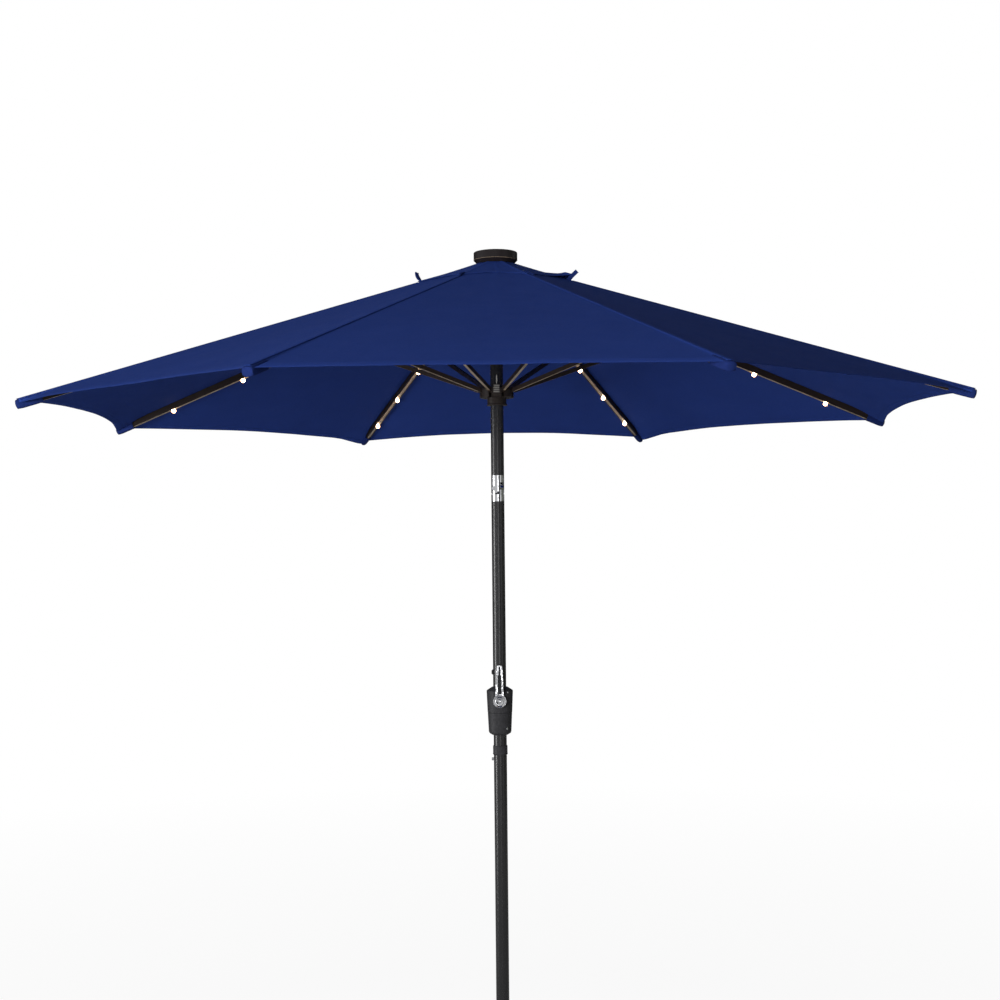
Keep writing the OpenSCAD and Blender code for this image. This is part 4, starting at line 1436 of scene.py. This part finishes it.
@dataclass
class RibTrim:
    """The covers under the ribs' channels, and the undersides of the struts; both are pale, which paints the
    floor's reflection on them as a highlight.

    Attributes:
        maker: Makes the pieces.
        ribs: Where the ribs lie.
        start: Where a rib's cover begins, from the hinge.
        stop: How far from the tip it ends.
        cover_w: Width of a rib's cover.
        lip_t: Thickness of a cover.
        strut_w: Width of a strut.
        strut_h: Depth of a strut.
        strut_in: How far from a strut's hinges its sole ends.
    """

    maker: Maker
    ribs: Frame
    start: float = 0.045
    stop: float = 0.052
    cover_w: float = 0.0066
    lip_t: float = 0.0008
    strut_w: float = 0.0086
    strut_h: float = 0.012
    strut_in: float = 0.02

    def strip(
        self, name: str, body: str, place: Matrix, depth: float, reach: tuple, half: float, look: bpy.types.Material
    ) -> Piece:
        """Makes a thin strip on the underside of a channel.

        Args:
            name: The strip's name.
            body: The body that it rides on.
            place: The channel's frame.
            depth: The channel's depth.
            reach: Where along the channel it begins and ends.
            half: Half its width.
            look: What it wears.

        Returns:
            The piece.
        """
        mesh = bmesh.new()
        low = -depth / 2 - 0.0003
        block(mesh, Vector((reach[0], -half, low)), Vector((reach[1], half, low + self.lip_t)), place, 0.0003, 2)
        return self.maker.piece(mesh, name, Slot.BRONZE, body, finish=look)

    def build(self) -> None:
        """Makes the trim of every rib and strut."""
        ribs, looks = self.ribs, self.maker.wardrobe
        for rib in RIBS:
            reach = (self.start, ribs.rib_len - self.stop)
            place = ribs.channel_place(rib)
            # Pale cover: painted reflection of the floor under each rib.
            self.strip(f"rib_cover_{rib}", f"rib_{rib}", place, ribs.rib_h, reach, self.cover_w / 2, looks.cover)
            reach = (self.strut_in, ribs.strut_len - self.strut_in)
            place, half = ribs.strut_place(rib), self.strut_w / 2 - 0.0004
            # Pale sole: painted highlight along each strut's underside.
            self.strip(f"strut_sole_{rib}", f"strut_{rib}", place, self.strut_h, reach, half, looks.edge_painted_highlight)


@dataclass
class Lamps:
    """The round lamps below the ribs: a clear dome covers each one and spreads its light.

    Attributes:
        maker: Makes the pieces.
        ribs: Where the ribs lie.
        reaches: Distances of the lamps from the axis, on the front and back ribs.
        side_reaches: The same on the four side ribs.
        bulb_r: Radius of a lamp.
        lens_r: Radius of its dome.
    """

    maker: Maker
    ribs: Frame
    reaches: tuple[float, ...] = (0.710, 0.939, 1.168)
    side_reaches: tuple[float, ...] = (0.871, 1.133)
    bulb_r: float = 0.0062
    lens_r: float = 0.0069

    def spots(self, rib: int) -> list[float]:
        """Gives each lamp's place along its rib, from the hinge.

        Args:
            rib: The rib's number.

        Returns:
            The places.
        """
        low = -self.ribs.pin_up - self.ribs.rib_h / 2 - 0.75 * self.bulb_r
        side = abs(math.cos(self.ribs.azimuth(rib))) > math.cos(math.radians(45))
        tilt = math.sin(self.ribs.slope), math.cos(self.ribs.slope)
        chosen = self.side_reaches if side else self.reaches
        return [(reach - self.ribs.hinge_r - low * tilt[0]) / tilt[1] for reach in chosen]

    def build(self) -> None:
        """Makes each rib's clear domes over its lamps."""
        top = -self.ribs.pin_up - self.ribs.rib_h / 2 - 0.0003
        middle = top - 0.6 * self.lens_r
        turns = [math.radians(-90 + 11.5 * step) for step in range(12)]
        dome = [(self.lens_r * math.cos(turn), middle + self.lens_r * math.sin(turn)) for turn in turns[1:]]
        wall = [(0.0, middle - self.lens_r), *dome, (self.lens_r * 0.86, top), (0.0, top)]
        for rib in RIBS:
            mesh = bmesh.new()
            for spot in self.spots(rib):
                lathe(mesh, wall, self.ribs.rib_place(rib) @ Matrix.Translation((spot, 0, 0)), 32)
            self.maker.piece(mesh, f"lamp_lenses_{rib}", Slot.LAMP, f"rib_{rib}")


@dataclass
class Fittings:
    """Small details on the pole: screws and seam of the crank housing, the crank's cap, and the top cap's bead.

    Attributes:
        maker: Makes the pieces.
        cap_r: Radius of the top cap at its lower edge.
        cap_z: Height of that edge.
        crank_z: Height of the crank's axis.
        hub_y: How far in front of the axis the crank's hub ends.
        housing_z: Lower and upper end of the housing's cone, from the crank's axis.
        housing_r: Radius of the housing there.
        screws_at: Height of each screw from the crank's axis, and how far aside it sits.
        seam_step: Height of one length of the housing's flash line.
    """

    maker: Maker
    cap_r: float = 0.0643
    cap_z: float = 2.4767
    crank_z: float = 1.188
    hub_y: float = 0.0499
    housing_z: tuple[float, float] = (-0.095, 0.032)
    housing_r: tuple[float, float] = (0.033, 0.0385)
    screws_at: tuple[tuple[float, float], ...] = ((0.0245, 0.0240), (-0.0815, 0.0212))
    seam_step: float = 0.0045

    def housing_radius(self, height: float) -> float:
        """Gives the housing's radius at a height.

        Args:
            height: The height over the floor.

        Returns:
            The radius.
        """
        low, high = (self.crank_z + end for end in self.housing_z)
        share = (height - low) / (high - low)
        return self.housing_r[0] + (self.housing_r[1] - self.housing_r[0]) * share

    def screws(self) -> Piece:
        """Makes the two screws at the right of the housing's front.

        Returns:
            The piece.
        """
        mesh = bmesh.new()
        head = [(0.0, 0.0011), (0.0012, 0.0011), (0.0024, 0.0008), (0.0030, 0.0), (0.0030, -0.0012), (0.0, -0.0012)]
        for up, across in self.screws_at:
            radius = self.housing_radius(self.crank_z + up)
            angle = math.asin(across / radius)
            spot = Vector((radius * math.sin(angle), -radius * math.cos(angle), self.crank_z + up))
            lathe(mesh, head, Matrix.Translation(spot) @ Matrix.Rotation(angle, 4, "Z") @ FACING_FRONT, 24)
        return self.maker.piece(mesh, "housing_screws", Slot.CHROME, "pole")

    def seam(self) -> Piece:
        """Makes the fine upright flash line below the housing's groove.

        Returns:
            The piece.
        """
        mesh = bmesh.new()
        for step in range(12):
            low = self.crank_z - 0.0925 + step * self.seam_step
            corner = Vector((-0.0022, -self.housing_radius(low + 0.0022) - 0.0002, low))
            block(mesh, corner, corner + Vector((0.0011, 0.0008, self.seam_step)), Matrix.Identity(4), 0.0002, 1)
        return self.maker.piece(mesh, "housing_seam", Slot.HOUSING, "pole")

    def crank_cap(self) -> Piece:
        """Makes the turned cap on the crank's hub, with rings that throw light every way.

        Returns:
            The piece.
        """
        mesh = bmesh.new()
        rings = [(0.0, 0.0020), (0.0020, 0.0024), (0.0045, 0.0016), (0.0062, 0.0006), (0.0080, 0.0011)]
        rings += [(0.0098, 0.0021), (0.0112, 0.0022), (0.0122, 0.0010), (0.0138, 0.0004), (0.0156, 0.0013)]
        rings += [(0.0172, 0.0020), (0.0183, 0.0014), (0.0187, 0.0), (0.0187, -0.0030), (0.0, -0.0030)]
        lathe(mesh, rings, Matrix.Translation((0, -self.hub_y, self.crank_z)) @ FACING_FRONT, 72)
        return self.maker.piece(mesh, "crank_cap", Slot.CHROME, "crank")

    def cap_bead(self) -> Piece:
        """Makes the fine bead round the lower edge of the top cap, in a pale brown that paints a glint on it.

        Returns:
            The piece.
        """
        mesh = bmesh.new()
        ring = [(-0.0012, -0.0005), (0.0002, -0.0003), (0.0002, 0.0003), (-0.0012, 0.0005)]
        outline = [(self.cap_r + out, up) for out, up in ring]
        lathe(mesh, outline, Matrix.Translation((0, 0, self.cap_z)), 96, closed=True)
        # The bead wears the pale edge finish: a painted glint.
        return self.maker.piece(mesh, "cap_bead", Slot.CAP, "mast_top", finish=self.maker.wardrobe.edge_painted_highlight)

    def build(self) -> None:
        """Makes every fitting."""
        for make in (self.screws, self.seam, self.crank_cap, self.cap_bead):
            make()


# ---------------------------------------------------------------- studio


@dataclass(frozen=True)
class Lamp:
    """One broad soft lamp.

    Attributes:
        name: Its name.
        power: Its power in watts.
        spot: Where it hangs.
        size: Its width and height.
        aim_z: Height of the point on the pole's axis that it faces.
        hidden_from: What it does not light, as the object's own switch, or nothing.
    """

    name: str
    power: float
    spot: tuple[float, float, float]
    size: tuple[float, float]
    aim_z: float
    hidden_from: str = ""

    def hang(self) -> None:
        """Hangs the lamp in the room."""
        data = bpy.data.lights.new(self.name, "AREA")
        data.shape = "RECTANGLE"
        data.size, data.size_y = self.size
        data.energy = self.power
        made = into_scene(self.name, data)
        made.location = self.spot
        made.rotation_euler = (Vector((0, 0, self.aim_z)) - Vector(self.spot)).to_track_quat("-Z", "Y").to_euler()
        if self.hidden_from:
            setattr(made, self.hidden_from, False)


@dataclass
class Studio:
    """A white room: pale floor, even light, a broad soft lamp in front, and dark cards that chrome mirrors.

    Attributes:
        floor_tone: The floor's colour.
        sky: Strength of the even light.
        mirrored: Share of white that reflections of the room show.
        floor_mirrored: The same for the floor at the base.
        far_mirrored: The same for the floor far away.
        lamps: The broad lamp, the one at the left that draws the streak on the pole, and the narrow one in
            front that chrome and the pole mirror instead of the broad one.
        cards: Direction from the front in degrees, distance, width and colour of each dark card.
        lens_mm: The camera's focal length.
        camera_at: Where it stands, before the whole view turns round the pole.
        view_turn: That turn, in degrees.
        camera_aim: How the camera itself turns and tilts, in degrees: about Z, X and its own line of sight.
    """

    floor_tone: str = "#e6e6e6"
    sky: float = 0.13
    mirrored: float = 0.6
    floor_mirrored: float = 0.3
    far_mirrored: float = 0.5
    lamps: tuple[Lamp, ...] = (
        Lamp("key", 745.0, (-3.4, -7.0, 1.78), (3.0, 1.8), 2.0, "visible_glossy"),
        Lamp("side", 85.0, (-4.6, -1.3, 1.05), (1.0, 2.2), 1.3, "visible_diffuse"),
        Lamp("strip", 27.0, (0.75, -6.6, 1.3), (1.4, 2.4), 1.4),
    )
    cards: tuple[tuple[float, float, float, str], ...] = (
        (26.0, 5.2, 2.2, "#1c1c1e"),
        (88.0, 4.0, 3.0, "#74776c"),
        (-142.0, 5.0, 6.0, "#1c1c1e"),
        (150.0, 5.0, 6.5, "#1c1c1e"),
    )
    lens_mm: float = 56.419
    camera_at: tuple[float, float, float] = (0.0046, -4.5933, 1.6645)
    view_turn: float = 0.717
    camera_aim: tuple[float, float, float] = (-0.021, 91.3405, -0.572)

    def camera(self) -> None:
        """Sets the camera a little below the canopy, looking level at the pole."""
        data = bpy.data.cameras.new("camera")
        data.lens = self.lens_mm
        data.sensor_width = 36.0
        data.clip_end = 200.0
        made = into_scene("camera", data)
        turn = Matrix.Rotation(math.radians(self.view_turn), 4, "Z")
        yaw, pitch, roll = (Matrix.Rotation(math.radians(a), 4, x) for a, x in zip(self.camera_aim, "ZXZ"))
        made.matrix_world = turn @ Matrix.Translation(self.camera_at) @ (yaw @ pitch) @ roll
        bpy.context.scene.camera = made

    def room(self) -> None:
        """Lays the floor and sets the even light; both show white to the camera and in reflections."""
        floor = into_scene("floor", finished(grid(2, 2, 60.0), "floor"))
        floor.data.materials.append(self.floor_material())
        world = bpy.data.worlds.new("room")
        bpy.context.scene.world = world
        tree = blank(world)
        even, white = (add_node(tree, "ShaderNodeBackground", {0: WHITE, 1: v}).outputs[0] for v in (self.sky, 1.0))
        mix = add_node(tree, "ShaderNodeMixShader", None, {0: self.seen(tree, self.mirrored), 1: even, 2: white})
        add_node(tree, "ShaderNodeOutputWorld", None, {0: mix.outputs[0]})

    def seen(self, tree: Tree, mirrored: float | Socket) -> Socket:
        """Gives 1 where the room is looked at, less where it is mirrored, and 0 where it only lights.

        Args:
            tree: The node tree.
            mirrored: What reflections show, as a share of white.

        Returns:
            The share's socket.
        """
        path = add_node(tree, "ShaderNodeLightPath")
        seen = maths(tree, "MAXIMUM", path.outputs["Is Camera Ray"], path.outputs["Is Transmission Ray"])
        return maths(tree, "MAXIMUM", seen, maths(tree, "MULTIPLY", path.outputs["Is Glossy Ray"], mirrored))

    def card(self, number: int, degrees: float, distance: float, width: float, tone: str) -> None:
        """Stands a tall dark card in the room that only mirrors show.

        Args:
            number: Its number.
            degrees: Its direction round the pole, from the front.
            distance: How far from the pole it stands.
            width: Its width.
            tone: Its colour.
        """
        angle = math.radians(degrees - 90)
        spot = Matrix.Translation((distance * math.cos(angle), distance * math.sin(angle), 1.6))
        upright = Matrix.Rotation(angle + math.pi / 2, 4, "Z") @ FACING_FRONT
        mesh = grid(2, 2, 0.5, spot @ upright @ Matrix.Diagonal((width, 4.4, 1.0, 1.0)))
        made = into_scene(f"dark_card_{number}", finished(mesh, f"dark_card_{number}"))
        material = bpy.data.materials.new(f"black_felt_{number}")
        tree = blank(material)
        felt = add_node(tree, "ShaderNodeBsdfDiffuse", {0: linear(tone)})
        add_node(tree, "ShaderNodeOutputMaterial", None, {0: felt.outputs[0]})
        made.data.materials.append(material)
        for unseen in ("visible_camera", "visible_diffuse", "visible_shadow", "visible_transmission"):
            setattr(made, unseen, False)

    def floor_material(self) -> bpy.types.Material:
        """Makes the floor's paint: matt and pale, and nearly white to the camera, with a faint shadow left.

        Returns:
            The material.
        """
        material = bpy.data.materials.new("matt_floor_paint")
        tree = blank(material)
        place = add_node(tree, "ShaderNodeTexCoord").outputs["Object"]
        away = add_node(tree, "ShaderNodeVectorMath", None, {0: place}, operation="LENGTH").outputs["Value"]
        share = maths(tree, "MULTIPLY", self.seen(tree, 1.0), span(tree, away, 0.93, 1.0, 1.5, 6.0))
        shine = self.seen(tree, span(tree, away, self.floor_mirrored, self.far_mirrored, 1.5, 7.0))
        paint = add_node(tree, "ShaderNodeBsdfDiffuse", {0: linear(self.floor_tone)})
        white = add_node(tree, "ShaderNodeEmission", {0: WHITE}, {1: shine})
        mix = add_node(tree, "ShaderNodeMixShader", None, {0: share, 1: paint.outputs[0], 2: white.outputs[0]})
        add_node(tree, "ShaderNodeOutputMaterial", None, {0: mix.outputs[0]})
        return material

    def build(self) -> None:
        """Sets up the room."""
        self.room()
        for number, card in enumerate(self.cards, 1):
            self.card(number, *card)
        for lamp in self.lamps:
            lamp.hang()
        bpy.context.scene.view_settings.view_transform = "Standard"
        log.info("studio ready")


def main() -> None:
    """Builds the dressed umbrella and its studio."""
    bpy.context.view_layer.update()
    studio = Studio()
    studio.camera()
    wardrobe = Wardrobe()
    wardrobe.dress_nodes()
    maker = Maker(wardrobe)
    ribs = Frame()
    for part in (Canopy(maker, ribs), RibTrim(maker, ribs), Lamps(maker, ribs), Fittings(maker), studio):
        part.build()


if __name__ == "__main__":
    main()
